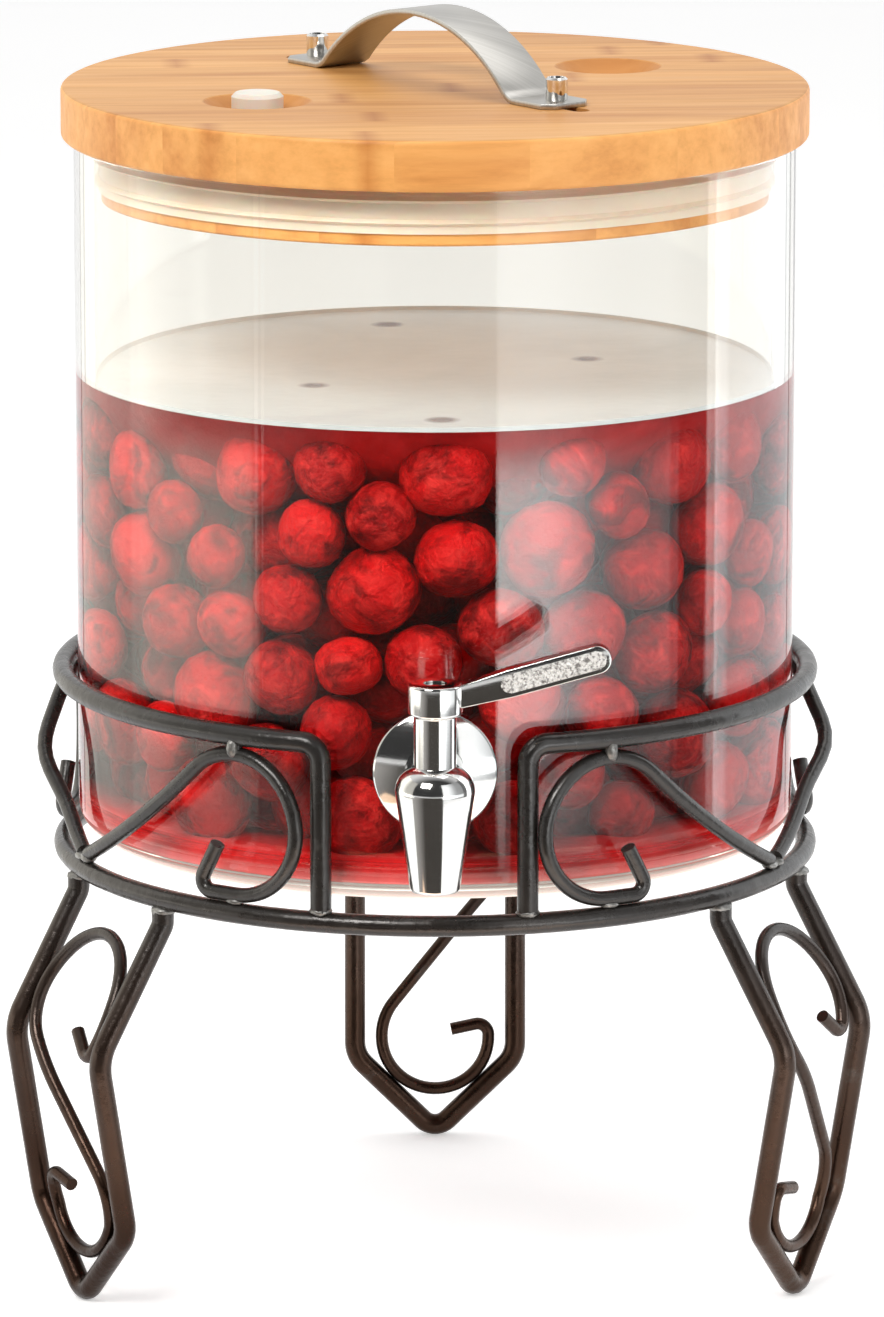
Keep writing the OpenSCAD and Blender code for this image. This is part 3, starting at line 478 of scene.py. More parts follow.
# A front post from its foot up into the upper ring, and the angle where the ring begins
def postRun(side, post):
    r = stand["ringR"]
    turn = math.radians(post) + math.atan(stand["postBend"] / r)
    end = Vector((side * r * math.sin(turn), -r * math.cos(turn), stand["upperZ"]))
    knee = end - stand["postBend"] * Vector((side * math.cos(turn), math.sin(turn), 0))
    foot = Vector((knee.x, knee.y, ringTop + stand["weld"]))
    return [foot, *corner(foot, knee, end, stand["postBend"])], math.degrees(turn)


def standRings():
    r = stand["ringR"]
    circle = [(*p, stand["ringZ"]) for p in arc((0, 0), r, 0, 360, stand["ringSteps"])[:-1]]
    dress(bars("lower_ring_bar", [circle], stand["bar"], True), "stand", iron, ["lower_ring"])
    right, start = postRun(1, stand["postRight"])
    left, stop = postRun(-1, stand["postLeft"])
    hoop = [(*p, stand["upperZ"]) for p in arc((0, 0), r, start - 90, 270 - stop, stand["hoopSteps"])[1:-1]]
    dress(bars("upper_ring_bar", [right + hoop + left[::-1]], stand["bar"]), "stand", iron, ["upper_ring"])


standRings()

scroll = {"wire": 4, "reach": 35.4, "footPitch": 2.3, "thirdPitch": 26, "sag": 10, "tie": 0.3, "tieIn": 0.6, "bow": 3.5,
          "swell": 5, "swellAt": 24, "swellWide": 11, "hook": 3, "run": 7.5, "tail": 9.5, "turn": 118,
          "runSteps": 14, "loopSteps": 44, "hookSteps": 10}
loops = {"left": (-1, 31.2, 101), "right": (1, 26.8, 102.5)}
upperLow = stand["upperZ"] - stand["bar"] / 2
loopLow = ringTop + scroll["wire"] / 2 + stand["weld"]
loopHigh = upperLow - scroll["tie"] - scroll["wire"] / 2


# A panel unrolled: along the ring from the loop's middle to the foot, height, and how far out of the ring's curve
def panelPoints(far, swell):
    r, mid = (loopHigh - loopLow) / 2, (loopHigh + loopLow) / 2
    foot = Vector((far, loopLow))
    tangent = math.acos(r / math.hypot(far, loopLow - mid))
    leave = math.atan2(loopLow - mid, far) + tangent - math.radians(scroll["sag"])
    first = Vector((r * math.cos(leave), mid + r * math.sin(leave)))
    pull = first + (foot - first).length / 2 * Vector((math.sin(leave), -math.cos(leave)))
    shares = [i / scroll["runSteps"] for i in range(scroll["runSteps"])]
    straight = [(1 - t) ** 2 * foot + 2 * t * (1 - t) * pull + t * t * first for t in shares]
    loop = arc((0, mid), r, math.degrees(leave), 270, scroll["loopSteps"])
    pivot = (scroll["run"], loopLow + scroll["hook"])
    hook = arc(pivot, scroll["hook"], -90, scroll["turn"] - 90, scroll["hookSteps"])
    last = math.radians(scroll["turn"] - 90)
    tail = (hook[-1][0] - scroll["tail"] * math.sin(last), hook[-1][1] + scroll["tail"] * math.cos(last))

    def outward(s):
        bow = scroll["bow"] * (s / r) ** 2 if s < 0 else 0
        return bow + swell * math.exp(-((s - scroll["swellAt"]) / scroll["swellWide"]) ** 2)

    return [(s, z, outward(s)) for s, z in [tuple(p) for p in straight] + loop + hook + [tail]]


def panelPlan():
    for word, (side, first, second) in loops.items():
        third = second + scroll["thirdPitch"]
        feet = (first + scroll["reach"], first + scroll["reach"] + scroll["footPitch"], third + scroll["reach"])
        for panel, (middle, foot) in enumerate(zip((first, second, third), feet), 1):
            yield f"{word}_{panel}", side, middle, foot, scroll["swell"] if panel == 2 else 0


def galleryScrolls():
    for word, side, middle, foot, swell in panelPlan():
        sense = math.copysign(1, foot - middle)

        def around(s, z, out=0.0):
            a = math.radians(middle) + sense * s / stand["ringR"]
            r = stand["ringR"] + out
            return (side * r * math.sin(a), -r * math.cos(a), z)

        run = [around(*p) for p in panelPoints(abs(math.radians(foot - middle)) * stand["ringR"], swell)]
        tie = [around(0, loopHigh), around(0, upperLow + scroll["tieIn"])]
        dress(bars(f"scroll_{word}", [run, tie], scroll["wire"]), "stand", iron, [f"gallery_scroll_{word}"])


galleryScrolls()

leg = {"bar": 5.8, "half": 22.5, "kneeZ": 71, "kneeOut": 17, "footOut": 9, "foot": 45, "kneeBend": 14, "ankle": 9,
       "footBend": 5, "flat": 0.4, "neck": 4, "wire": 3.5, "loopUp": 9, "lowR": 15, "hook": 3, "tail": 7, "turn": 100,
       "start": -30, "end": -182, "loopSteps": 40, "runSteps": 14, "hookSteps": 9}
legTurns = {"back": 90, "left": 211.3, "right": 331.8}


def legFacts():
    r = stand["ringR"]
    foot = math.radians(leg["foot"])
    apex = leg["bar"] / 2 - leg["flat"] - leg["footBend"] * (1 / math.sin(foot) - 1)
    return {"topZ": stand["ringZ"] - stand["bar"] / 2 - stand["weld"], "topR": math.sqrt(r * r - leg["half"] ** 2),
            "kneeR": r + leg["kneeOut"], "footR": r + leg["footOut"], "apex": apex,
            "ankleZ": apex + leg["half"] / math.tan(foot)}


# How far from the jar's axis a leg's face lies at a height
def legOut(z, facts):
    neck = facts["topZ"] - leg["neck"]
    kneeR, kneeZ = facts["kneeR"], leg["kneeZ"]
    near = max(0, 1 - abs(z - kneeZ) / leg["kneeBend"])
    if z > kneeZ:
        out = kneeR + (facts["topR"] - kneeR) * (z - kneeZ) / (neck - kneeZ)
    elif z > facts["ankleZ"]:
        out = kneeR + (facts["footR"] - kneeR) * (kneeZ - z) / (kneeZ - facts["ankleZ"])
    else:
        out = facts["footR"]
    return out - leg["kneeBend"] / 6 * near * near


# The S seen from outside the leg: across and height
def legScrollPoints(facts):
    foot = math.radians(leg["foot"])
    seat = leg["bar"] / 2 + leg["wire"] / 2 + stand["weld"]
    highR, highZ, lowR = leg["half"] - seat, leg["kneeZ"] + leg["loopUp"], leg["lowR"]
    lowZ = facts["apex"] + (lowR + seat) / math.sin(foot)
    cross = math.degrees(math.acos((highR + lowR) / (highZ - lowZ)))

    def hook(centre, radius, at):
        a = math.radians(at)
        pivot = (centre[0] + (radius - leg["hook"]) * math.cos(a), centre[1] + (radius - leg["hook"]) * math.sin(a))
        last = math.radians(at - leg["turn"])
        points = arc(pivot, leg["hook"], at, at - leg["turn"], leg["hookSteps"])[1:]
        return points + [(points[-1][0] + leg["tail"] * math.sin(last), points[-1][1] - leg["tail"] * math.cos(last))]

    high = arc((0, highZ), highR, leg["start"], 270 - cross, leg["loopSteps"])
    low = arc((0, lowZ), lowR, 90 - cross, leg["end"], leg["loopSteps"])
    a, b, steps = high[-1], low[0], leg["runSteps"]
    middle = [(a[0] + (b[0] - a[0]) * i / steps, a[1] + (b[1] - a[1]) * i / steps) for i in range(1, steps)]
    top, end = hook((0, highZ), highR, leg["start"]), hook((0, lowZ), lowR, leg["end"])
    return top[::-1] + high + middle + low + end


def legs():
    facts = legFacts()
    curl = legScrollPoints(facts)
    half, topR, topZ = leg["half"], facts["topR"], facts["topZ"]
    for word, azimuth in legTurns.items():
        c, s = math.cos(math.radians(azimuth)), math.sin(math.radians(azimuth))

        def spot(out, across, z):
            return Vector((out * c - across * s, out * s + across * c, z))

        side = [(topR, half, topZ), (topR, half, topZ - leg["neck"]), (facts["kneeR"], half, leg["kneeZ"]),
                (facts["footR"], half, facts["ankleZ"])]
        far = [(a, -b, z) for a, b, z in reversed(side)]
        points = [spot(*p) for p in side + [(facts["footR"], 0, facts["apex"] + leg["flat"])] + far]
        down = [leg["neck"], leg["kneeBend"], leg["ankle"]]
        radii = down + [leg["footBend"]] + down[::-1]
        dress(bars(f"leg_bar_{word}", [bent(points, radii)], leg["bar"]), "stand", iron, [f"leg_{word}"])
        run = [spot(legOut(z, facts), across, z) for across, z in curl]
        dress(bars(f"leg_curl_{word}", [run], leg["wire"]), "stand", iron, [f"leg_scroll_{word}"])


legs()

# Each lump: how far out of the ring's circle, how far up, and its half sizes
weld = {"seed": 3, "least": 0.88, "most": 1.1,
        "tie": (1.2, 2.0, (1.7, 1.9, 3.0)), "loop": (0.4, 0.5, (2.6, 1.9, 1.0)), "foot": (0.2, 0.9, (2.4, 2.2, 1.3)),
        "post": (0, 0.2, (3.2, 3.1, 1.3)), "leg": (0, -0.3, (3.3, 3.3, 1.5))}


def weldSpots():
    for word, side, middle, foot, swell in panelPlan():
        yield side * middle, loopHigh, "tie"
        yield side * middle, ringTop, "loop"
        yield side * foot, ringTop, "foot"
    yield -stand["postLeft"], ringTop, "post"
    yield stand["postRight"], ringTop, "post"
    facts = legFacts()
    swing = math.degrees(math.atan2(leg["half"], facts["topR"]))
    for azimuth in legTurns.values():
        for side in (-1, 1):
            yield azimuth + 90 + side * swing, facts["topZ"], "leg"


# Lumps of weld metal where bars and wires meet
def welds():
    rng = np.random.default_rng(weld["seed"])
    lump = bmesh.new()
    bmesh.ops.create_icosphere(lump, subdivisions=2, radius=1)
    pattern = meshOf("lump", lump)
    bm = bmesh.new()
    for turn, height, kind in weldSpots():
        out, up, size = weld[kind]
        a, r = math.radians(turn), stand["ringR"] + out
        seat = Matrix.Translation(Vector((r * math.sin(a), -r * math.cos(a), height + up)))
        seat = seat @ Matrix.Rotation(a, 4, "Z") @ Matrix.Diagonal((*size, 1))
        for v in stamp(bm, pattern):
            v.co = seat @ (v.co * float(rng.uniform(weld["least"], weld["most"]))) * mm
    mesh = smoothMesh("weld_lumps", bm)
    bpy.data.meshes.remove(pattern)
    dress(bpy.data.objects.new("weld_lumps", mesh), "stand", weldLook())


welds()
print("stand made")


# Closed outline of radius and height turned round an axis
def spun(outline, steps, seat=Matrix()):
    bm = bmesh.new()
    ring = [bm.verts.new((r * mm, 0, z * mm)) for r, z in outline]
    edges = [bm.edges.new(pair) for pair in zip(ring, ring[1:])]
    bmesh.ops.spin(bm, geom=ring + edges, axis=(0, 0, 1), cent=(0, 0, 0), angle=2 * math.pi, steps=steps,
                   use_merge=True)
    bmesh.ops.remove_doubles(bm, verts=bm.verts, dist=1e-7)
    bmesh.ops.recalc_face_normals(bm, faces=bm.faces)
    bmesh.ops.transform(bm, matrix=seat, verts=bm.verts)
    return bm


def together(name, parts, sharp=40):
    whole = bmesh.new()
    for part in parts:
        mesh = meshOf("part", part)
        whole.from_mesh(mesh)
        bpy.data.meshes.remove(mesh)
    mesh = smoothMesh(name, whole)
    mesh.set_sharp_from_angle(angle=math.radians(sharp))
    return bpy.data.objects.new(name, mesh)


def seatAt(x, y, z, tilt=0.0, axis="X"):
    return Matrix.Translation(Vector((x, y, z)) * mm) @ Matrix.Rotation(math.radians(tilt), 4, axis)


tap = {"y": -113, "z": 152, "spout": 20.5, "tip": 13, "nose": 1, "drop": 27.5, "dome": 7, "low": 1.5, "neck": 11,
       "top": 8, "bore": 8, "lip": 0.6, "core": 9.1, "coreLow": -8.5, "shank": 15.8, "shankEnd": -75.8, "shankCut": 0.5,
       "flange": 32, "flangeY": -97.2, "flangeT": 4.6, "flangeEdge": 0.5, "flangeCut": 0.2, "flangeFit": 0.06,
       "stem": 6.1, "neckTop": 18.2, "neckCut": 0.3, "noseSteps": 6, "domeSteps": 18, "capSteps": 16,
       "spoutTurns": 96, "shankTurns": 64, "flangeTurns": 128, "neckTurns": 72}


def tapPieces():
    chrome = looks["chrome"]
    r, drop, top, dome = tap["spout"] / 2, tap["drop"], tap["top"], tap["dome"]
    neck, core, bore = tap["neck"] / 2, tap["core"] / 2, tap["bore"] / 2
    lip, nose = tap["lip"], tap["nose"]
    turn = math.degrees(math.acos((neck - r + dome) / dome))
    outline = [(bore + lip, -drop), *arc((tap["tip"] / 2 - nose, nose - drop), nose, -90, 0, tap["noseSteps"]),
               *arc((r - dome, -tap["low"]), dome, 0, turn, tap["domeSteps"]), (neck, top), (core, top),
               (core, tap["coreLow"]), (bore, tap["coreLow"]), (bore, lip - drop), (bore + lip, -drop)]
    upright = seatAt(0, tap["y"], tap["z"])
    shank, cut = tap["shank"] / 2, tap["shankCut"]
    far = tap["shankEnd"] - tap["y"]
    pipe = [(0, 0), (shank - cut, 0), (shank, cut), (shank, far), (0, far)]
    pipe = spun(pipe, tap["shankTurns"], seatAt(0, tap["shankEnd"], tap["z"], 90))
    spout = together("tap_spout", [spun(outline, tap["spoutTurns"], upright), pipe])
    dress(spout, "jar", chrome, ["tap_body"])
    # Domed flange with a thin edge
    hole, rim, rise = shank + tap["flangeFit"], tap["flange"] / 2, tap["flangeT"] - tap["flangeEdge"]
    curve, cut = (rim * rim + rise * rise) / (2 * rise), tap["flangeCut"]
    spread = [math.degrees(math.asin(x / curve)) for x in (rim - cut, hole)]
    cap = arc((0, tap["flangeT"] - curve), curve, 90 - spread[0], 90 - spread[1], tap["capSteps"])
    plate = [(hole, 0), (rim - cut, 0), (rim, cut), (rim, tap["flangeEdge"] - cut), *cap, (hole, 0)]
    plate = spun(plate, tap["flangeTurns"], seatAt(0, tap["flangeY"], tap["z"], 90))
    dress(together("tap_plate", [plate]), "jar", chrome, ["tap_flange"])
    stem, high, cut = tap["stem"] / 2, tap["neckTop"], tap["neckCut"]
    sleeve = [(stem, top), (neck, top), (neck, high - cut), (neck - cut, high), (stem, high), (stem, top)]
    dress(together("tap_neck", [spun(sleeve, tap["neckTurns"], upright)]), "jar", chrome, ["bonnet"])


tapPieces()

lever = {"up": 18.5, "hub": 14, "tall": 8.1, "edge": 0.8, "rise": 3.05, "tilt": -15.6, "near": 19.8, "far": 42.6,
         "high": 7.2, "thick": 4.6, "neck": 2.4, "bevel": 0.3, "panel": 2.45, "pitch": 1.25, "point": 0.3,
         "proud": 0.03, "fade": 0.5, "border": 0.05, "columns": 110, "rows": 22, "knurlSharp": 25,
         "edgeSteps": 6, "endSteps": 18, "hubTurns": 96}


# Diamond points on both sides of the grip, fading out at the panel's round border
def knurl(seat):
    near, far, panel, pitch = (lever[key] for key in ("near", "far", "panel", "pitch"))
    wide = far - near + 2 * panel
    bm = bmesh.new()
    bmesh.ops.create_grid(bm, x_segments=lever["columns"], y_segments=lever["rows"], size=1)
    for v in bm.verts:
        v.co = Vector((near - panel + (v.co.x + 1) / 2 * wide, 0, v.co.y * panel))

    def inside(p):
        return panel - math.hypot(p.x - min(max(p.x, near), far), p.z)

    bmesh.ops.delete(bm, geom=[v for v in bm.verts if inside(v.co) < -lever["border"]], context="VERTS")
    for v in bm.verts:
        a, b = ((v.co.x + k * v.co.z) / pitch for k in (1, -1))
        peak = 1 - 2 * max(abs(a - round(a)), abs(b - round(b)))
        fade = min(1, max(0, inside(v.co) / lever["fade"]))
        v.co.y = -lever["thick"] / 2 - lever["proud"] - lever["point"] * peak * fade
    bmesh.ops.recalc_face_normals(bm, faces=bm.faces)
    bmesh.ops.scale(bm, vec=(mm, mm, mm), verts=bm.verts)
    twin = bm.copy()
    bmesh.ops.scale(twin, vec=(1, -1, 1), verts=twin.verts)
    for half, out in ((bm, -1), (twin, 1)):
        half.normal_update()
        half.faces.ensure_lookup_table()
        if sum(f.normal.y for f in half.faces) * out < 0:
            bmesh.ops.reverse_faces(half, faces=half.faces)
        bmesh.ops.transform(half, matrix=seat, verts=half.verts)
    return [bm, twin]


def leverPieces():
    hub, edge, tall, stem = lever["hub"] / 2, lever["edge"], lever["tall"], tap["stem"] / 2
    outline = [(stem, 0), *arc((hub - edge, edge), edge, -90, 0, lever["edgeSteps"]),
               *arc((hub - edge, tall - edge), edge, 0, 90, lever["edgeSteps"]), (stem, tall), (stem, 0)]
    boss = spun(outline, lever["hubTurns"], seatAt(0, tap["y"], tap["z"] + lever["up"]))
    half, near, neck, thick = lever["high"] / 2, lever["near"], lever["neck"], lever["thick"]
    tip = arc((lever["far"], 0), half, -90, 90, lever["endSteps"])
    shape = [(0, -neck), (near, -half), *tip, (near, half), (0, neck)]
    arm = bmesh.new()
    face = arm.faces.new([arm.verts.new((u * mm, -thick / 2 * mm, v * mm)) for u, v in shape])
    grown = bmesh.ops.extrude_face_region(arm, geom=[face])["geom"]
    grown = [v for v in grown if isinstance(v, bmesh.types.BMVert)]
    bmesh.ops.translate(arm, vec=(0, thick * mm, 0), verts=grown)
    bmesh.ops.recalc_face_normals(arm, faces=arm.faces)
    rims = [e for e in arm.edges if abs(e.verts[0].co.y - e.verts[1].co.y) < 1e-7]
    bmesh.ops.bevel(arm, geom=rims, offset=lever["bevel"] * mm, segments=3, profile=0.5, affect="EDGES", material=-1)
    seat = seatAt(0, tap["y"], tap["z"] + lever["up"] + lever["rise"], lever["tilt"], "Y")
    bmesh.ops.transform(arm, matrix=seat, verts=arm.verts)
    dress(together("lever_arm", [boss, arm]), "valve", looks["chrome"], ["lever"])
    dress(together("lever_knurl", knurl(seat), lever["knurlSharp"]), "valve", knurlLook())


leverPieces()
print("tap made")


# Sprung strap: sections with their half width, from one foot over the arch to the other
def strapPieces():
    t, span, rise, bend = handle["thick"], handle["span"] / 2, handle["rise"], handle["bend"]
    total = (span * span + rise * rise) / (2 * rise)
    big = total - bend
    end = math.degrees(math.acos(1 - rise / total))
    line = arc((0, t / 2 + rise - big), big, 90, 90 - end, handle["archSteps"])
    line += arc((span, t / 2 + bend), bend, 270 - end, 270, handle["bendSteps"])[1:]
    line += [(span + handle["foot"] - handle["trim"], t / 2), (span + handle["foot"], t / 2)]
    line = [(-x, z) for x, z in line[:0:-1]] + line
    bm = bmesh.new()
    rings = []
    for i, (x, z) in enumerate(line):
        ahead, behind = line[min(i + 1, len(line) - 1)], line[max(i - 1, 0)]
        way = Vector((ahead[0] - behind[0], ahead[1] - behind[1])).normalized()
        half = handle["wide"] / 2 - (handle["trim"] if i in (0, len(line) - 1) else 0)
        corners = [(s * half, k * t / 2) for s, k in ((-1, -1), (1, -1), (1, 1), (-1, 1))]
        rings.append([bm.verts.new((x - way.y * k, s, z + way.x * k)) for s, k in corners])
    for a, b in zip(rings, rings[1:]):
        for i in range(4):
            bm.faces.new((a[i], a[(i + 1) % 4], b[(i + 1) % 4], b[i]))
    bm.faces.new(rings[0])
    bm.faces.new(rings[-1])
    bmesh.ops.recalc_face_normals(bm, faces=bm.faces)
    bm.normal_update()
    sharp = [e for e in bm.edges if len(e.link_faces) == 2 and e.calc_face_angle() > handle["sharp"]]
    bmesh.ops.bevel(bm, geom=sharp, offset=handle["edge"], segments=2, profile=0.5, affect="EDGES", material=-1)
    bmesh.ops.scale(bm, vec=(mm, mm, mm), verts=bm.verts)
    bmesh.ops.transform(bm, matrix=seatAt(0, 0, handle["lid"], handle["turn"], "Z"), verts=bm.verts)
    dress(together("strap", [bm]), "lid", looks["brushed_steel"], ["handle_strap"])
    # Round-headed screws with a small recess in the top
    r, tall, pin, down = handle["studD"] / 2, handle["studH"], handle["shank"] / 2, handle["down"]
    (footIn, footUp), cut, (mouth, well, deep) = handle["studFoot"], handle["studCut"], handle["recess"]
    outline = [(0, -down), (pin, -down), (pin, 0), (r - footIn, 0), (r, footUp), (r, tall - cut), (r - cut, tall),
               (r - mouth, tall), (r - well, tall - deep), (0, tall - deep)]
    a = math.radians(handle["turn"])
    spots = [(s * handle["stud"] * math.cos(a), s * handle["stud"] * math.sin(a)) for s in (-1, 1)]
    studs = [spun(outline, handle["studTurns"], seatAt(x, y, handle["lid"] + t)) for x, y in spots]
    dress(together("strap_studs", studs), "lid", looks["chrome"], ["handle_screws"])


strapPieces()
print("handle made")

# Drink and berries: contents for the picture, not part of the CAD
# The skin is given in from the wall and up from the drink's top, the dregs as radius and height
drink = {"bore": 90.15, "base": 120.9, "floor": 124.4, "top": 239, "fillet": 5, "filletSteps": 10, "steps": 160,
         "skin": [(3, 0.15), (1.2, 0.35), (0.4, 1.3), (0.3, 0.1)],
         "pulp": 34, "pulpIn": 3.0, "pulpDeep": 44, "pulpTop": 0.2, "pulpEdge": (2, 3), "pulpSteps": 96,
         "dregs": [(88.9, 121.3), (88.6, 123.5), (85, 126.4), (73, 128.5), (58, 127), (58, 121.3), (88.9, 121.3)]}


def drinkPieces():
    b, z, f, top, skin = (drink[key] for key in ("bore", "base", "fillet", "top", "skin"))
    curve = arc((b - f, z + f), f, -90, 0, drink["filletSteps"])
    body = spun([(0, z), *curve, (b, top), (0, top)], drink["steps"])
    dress(together("drink", [body]), "jar", drinkLook())
    edge = [(b - inward, top + up) for inward, up in skin]
    froth = spun([(0, top + skin[0][1]), *edge, (0, top + skin[-1][1])], drink["steps"])
    dress(together("drink_top", [froth]), "jar", frothLook())
    # The cloud thins out towards the middle of the jar, so its lower side falls away inwards
    out, deep, tall, high = b - drink["pulpIn"], drink["pulpDeep"], drink["pulp"], top - drink["pulpTop"]
    inward, under = drink["pulpEdge"]
    cloud = [(out - deep, high), (out - deep, top - tall), (out - deep / 3, top - tall / 2),
             (out - inward, top - under), (out, high), (out - deep, high)]
    pulp = [spun(outline, drink["pulpSteps"]) for outline in (cloud, drink["dregs"])]
    dress(together("drink_pulp", pulp), "jar", pulpLook())


drinkPieces()

berry = {"seed": 7, "count": 225, "size": 22, "sizes": (0.80, 1.14), "bore": 90, "wallGap": 0.6, "low": 136.5,
         "high": 226, "underTop": 2, "outerShare": 0.56, "outer": (0, 5), "inner": (16, 26), "depth": 30,
         "nut": (0, -82, 152), "nutClear": 26, "rounds": 260, "touch": 0.49, "push": 0.28,
         "swell": 1.17, "stretch": (0.93, 1.07), "dents": (-0.10, 0.07), "spin": 6.28,
         "paintedShadeFrom": 0.1, "paintedShadeTo": 0.75, "dark": 0.4}


# Berries pushed apart until none overlap, kept in the jar and off the tap's nut
def berryCentres():
    rng = np.random.default_rng(berry["seed"])
    reach, count = berry["bore"] - berry["wallGap"], berry["count"]
    size = berry["size"] * rng.uniform(*berry["sizes"], count)
    angle = rng.uniform(0, 2 * np.pi, count)
    outer = rng.uniform(0, 1, count) < berry["outerShare"]
    inward = np.where(outer, rng.uniform(*berry["outer"], count), rng.uniform(*berry["inner"], count))
    radius = reach - size / 2 - inward
    height = rng.uniform(berry["low"], berry["high"], count)
    at = np.stack([radius * np.cos(angle), radius * np.sin(angle), height], 1)
    nut = np.array(berry["nut"], float)
    for _ in range(berry["rounds"]):
        gap = at[:, None] - at[None]
        far = np.linalg.norm(gap, axis=2) + 1e-6
        need = (size[:, None] + size[None]) * berry["touch"]
        push = np.where((far < need) & (far > 1e-5), (need - far) / far, 0)
        at = at + (gap * push[:, :, None]).sum(1) * berry["push"]
        away = at - nut
        d = np.linalg.norm(away, axis=1, keepdims=True)
        at = np.where(d < berry["nutClear"], nut + away / d * berry["nutClear"], at)
        flat = np.linalg.norm(at[:, :2], axis=1)
        most = reach - size / 2
        at[:, :2] *= (np.clip(flat, most - berry["depth"], most) / flat)[:, None]
        at[:, 2] = np.clip(at[:, 2], drink["floor"] + size / 2, drink["top"] - berry["underTop"] - size / 2)
    return at, size, rng


def berries():
    at, size, rng = berryCentres()
    ball = bmesh.new()
    bmesh.ops.create_cube(ball, size=1.0)
    bmesh.ops.subdivide_edges(ball, edges=ball.edges, cuts=1, use_grid_fill=True)
    for v in ball.verts:
        v.co.normalize()
    pattern = meshOf("berry_pattern", ball)
    bm = bmesh.new()
    tint = bm.verts.layers.float.new("tint")
    for centre, width in zip(at, size):
        # Painted shade: the fruit to the right of the front gets a darker tint
        dim = berry["paintedShadeFrom"] < math.atan2(centre[0], -centre[1]) < berry["paintedShadeTo"]
        shade = float(rng.uniform(0, 1)) * (berry["dark"] if dim else 1)
        stretch = rng.uniform(*berry["stretch"], 3)
        spin = Matrix.Rotation(rng.uniform(0, berry["spin"]), 3, Vector(rng.normal(size=3)).normalized())
        for v in stamp(bm, pattern):
            lump = width / 2 * berry["swell"] * (1 + float(rng.uniform(*berry["dents"])))
            v.co = (spin @ Vector(np.array(v.co) * stretch * lump) + Vector(centre)) * mm
            v[tint] = shade
    piece = bpy.data.objects.new("berries", smoothMesh("berries", bm))
    bpy.data.meshes.remove(pattern)
    soft = piece.modifiers.new("round", "SUBSURF")
    soft.levels = soft.render_levels = 1
    dress(piece, "jar", berryLook())


berries()
print("contents made")

# Pale floor that glows a little, cloth on it, and a world that is white behind and dark in front
floor = {"half": 14, "glow": 0.42}
flag = {"from": -56, "to": 19, "near": 0.26, "far": 2.0, "z": 0.003, "steps": 24, "grey": 26}
sky = {"dark": (0.32, 0.05), "white": (0.62, 1.0), "strength": 0.95}


def floorLook():
    made, tree, shader = material("floor")
    base = ramp(tree, noise(tree, place(tree), 3, 3), [(0.3, 0.86), (0.7, 0.88)])
    feed(tree, shader, Base_Color=base, Roughness=0.7, Emission_Color=(1, 1, 1, 1), Emission_Strength=floor["glow"])
    return made


def flagLook():
    made, tree, shader = material("flag")
    grey = node(tree, "Attribute", attribute_name="grey").outputs["Fac"]
    base = ramp(tree, noise(tree, place(tree), 40, 3), [(0.3, (0.040, 0.037, 0.034)), (0.7, (0.065, 0.060, 0.055))])
    base = blend(tree, grey, base, (0.34, 0.33, 0.32))
    feed(tree, shader, Base_Color=base, Roughness=0.9, Specular_IOR_Level=0.0)
    # Only mirrored: looked at straight, or straight through the glass, the cloth isn't there
    path = node(tree, "LightPath").outputs
    bounced = sums(tree, "GREATER_THAN", sums(tree, "ADD", path["Glossy Depth"], path["Diffuse Depth"]), 0.5)
    surface(tree, bounced, node(tree, "BsdfTransparent"), shader)
    return made


def staged(name, bm, look):
    mesh = meshOf(name, bm)
    mesh.materials.append(look)
    made = bpy.data.objects.new(name, mesh)
    scene.collection.objects.link(made)
    return made


def stageSet():
    bm = bmesh.new()
    bmesh.ops.create_grid(bm, x_segments=2, y_segments=2, size=floor["half"])
    staged("floor", bm, floorLook())
    # Black cloth in front, greyer to the left, so that chrome and glass have something dark to mirror
    bm = bmesh.new()
    grey = bm.verts.layers.float.new("grey")
    steps, fade = flag["steps"], math.radians(flag["grey"])
    turns = [math.radians(flag["from"] + (flag["to"] - flag["from"]) * i / steps) for i in range(steps + 1)]
    rows = [[bm.verts.new((r * math.sin(t), -r * math.cos(t), flag["z"])) for t in turns]
            for r in (flag["near"], flag["far"])]
    for row in rows:
        for t, v in zip(turns, row):
            v[grey] = max(0, min(1, (-fade - t) / fade))
    for i in range(steps):
        bm.faces.new((rows[0][i], rows[1][i], rows[1][i + 1], rows[0][i + 1]))
    cloth = staged("cloth", bm, flagLook())
    cloth.visible_camera = cloth.visible_shadow = False
    world = bpy.data.worlds.new("studio")
    scene.world = world
    world.use_nodes = True
    tree = world.node_tree
    axes = axesOf(tree, node(tree, "TexCoord").outputs["Generated"])
    half = sums(tree, "ADD", sums(tree, "MULTIPLY", axes["Y"], 0.5), 0.5)
    feed(tree, tree.nodes["Background"], Color=ramp(tree, half, [sky["dark"], sky["white"]]), Strength=sky["strength"])


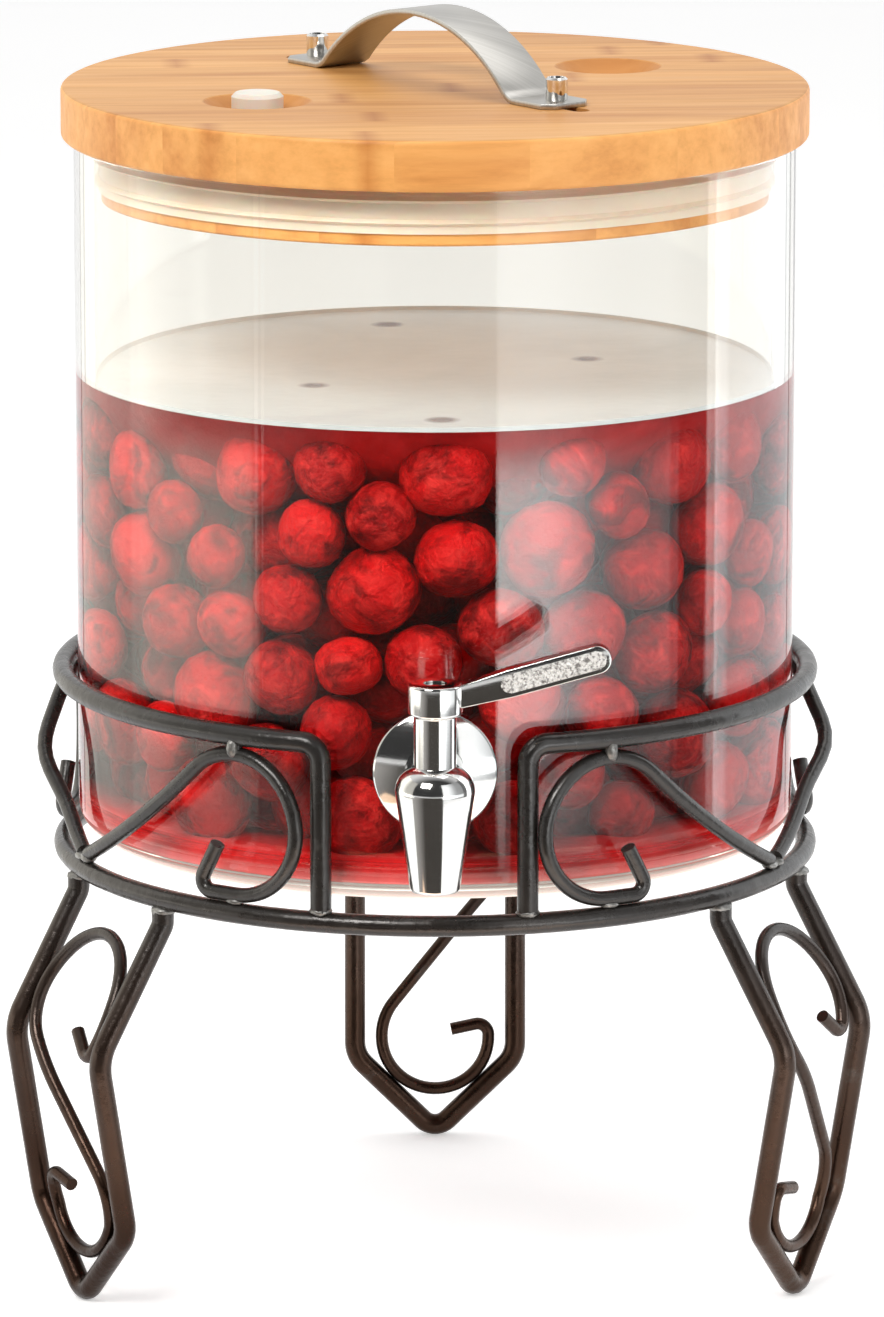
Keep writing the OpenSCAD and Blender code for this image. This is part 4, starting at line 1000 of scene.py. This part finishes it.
# A tent round the object: how bright it glows at each angle from the front, and how that fades with height
tent = {
    "away": 0.52, "lift": 0.002, "fadeTo": 88,
    "right": [(17.9, 0), (18.4, 5.0), (32, 4.8), (40, 3.6), (48, 2.1), (56, 1.3), (76.3, 1.0), (77.3, 0.1), (92, 0.1),
              (93, 3.8), (97, 3.6), (100, 1.7), (120, 1.4), (145, 1.2), (147, 0)],
    "left": [(-147, 0), (-145, 1.2), (-106, 1.4), (-104, 2.1), (-80, 2.3), (-60, 2.2), (-55.5, 1.8), (-54, 0)],
    "rows": [(0.0, 0.15), (0.044, 0.22), (0.068, 1.0), (0.138, 1.0), (0.152, 0.27), (0.30, 0.25), (0.45, 0.25),
             (0.60, 0.2)],
}
lamps = {
    "top": {"at": (0.1, 0.25, 1.35), "to": (0, 0, 0.3), "size": (1.0, 0.8), "glow": 1.4, "colour": (1, 0.99, 0.97)},
    "key": {"at": (-0.70, -1.20, 1.42), "to": (0, 0, 0.2), "size": (0.8, 0.6), "glow": 15.0,
            "colour": (1, 0.985, 0.96)},
    "fill": {"at": (0.95, -1.10, 1.0), "to": (0, 0, 0.2), "size": (0.8, 0.6), "glow": 4.5, "colour": (1, 0.99, 0.97)},
    "warm": {"at": (0, -0.215, 0.006), "to": (0, -0.215, 1.0), "size": (0.40, 0.10), "glow": 1.1,
             "colour": (1, 0.66, 0.42)},
}


# Warm light to the left, cool to the right
def tentLook():
    made, tree, shader = material("tent")
    glow = node(tree, "Attribute", attribute_name="glow").outputs["Fac"]
    across = sums(tree, "ADD", sums(tree, "MULTIPLY", axesOf(tree, place(tree))["X"], 0.9), 0.5)
    tone = ramp(tree, across, [(0.2, (1.0, 0.97, 0.88)), (0.8, (0.95, 0.98, 1.0))])
    feed(tree, shader, Base_Color=(0.1, 0.1, 0.1, 1), Specular_IOR_Level=0.0)
    feed(tree, shader, Emission_Color=tone, Emission_Strength=glow)
    return made


def lamp(name, at, to, size, glow, colour):
    made = bpy.data.lights.new(name, "AREA")
    made.shape = "RECTANGLE"
    made.size, made.size_y = size
    made.energy = glow * math.pi * size[0] * size[1]
    made.color = colour
    thing = bpy.data.objects.new(name, made)
    thing.location = at
    thing.rotation_euler = (Vector(to) - Vector(at)).to_track_quat("-Z", "Y").to_euler()
    thing.visible_camera = False
    scene.collection.objects.link(thing)


def lights():
    look = tentLook()
    for side in ("left", "right"):
        bm = bmesh.new()
        glow = bm.verts.layers.float.new("glow")
        rows = []
        for z, fade in tent["rows"]:
            rows.append([])
            for turn, light in tent[side]:
                a = math.radians(turn)
                v = bm.verts.new((tent["away"] * math.sin(a), -tent["away"] * math.cos(a), z + tent["lift"]))
                v[glow] = light * (fade if abs(turn) < tent["fadeTo"] else 1)
                rows[-1].append(v)
        for low, high in zip(rows, rows[1:]):
            for i in range(len(low) - 1):
                bm.faces.new((low[i], low[i + 1], high[i + 1], high[i]))
        made = staged(f"tent_{side}", bm, look)
        made.visible_camera = made.visible_diffuse = made.visible_shadow = False
    for name, values in lamps.items():
        lamp(name, **values)


stageSet()
lights()
print("stage made")
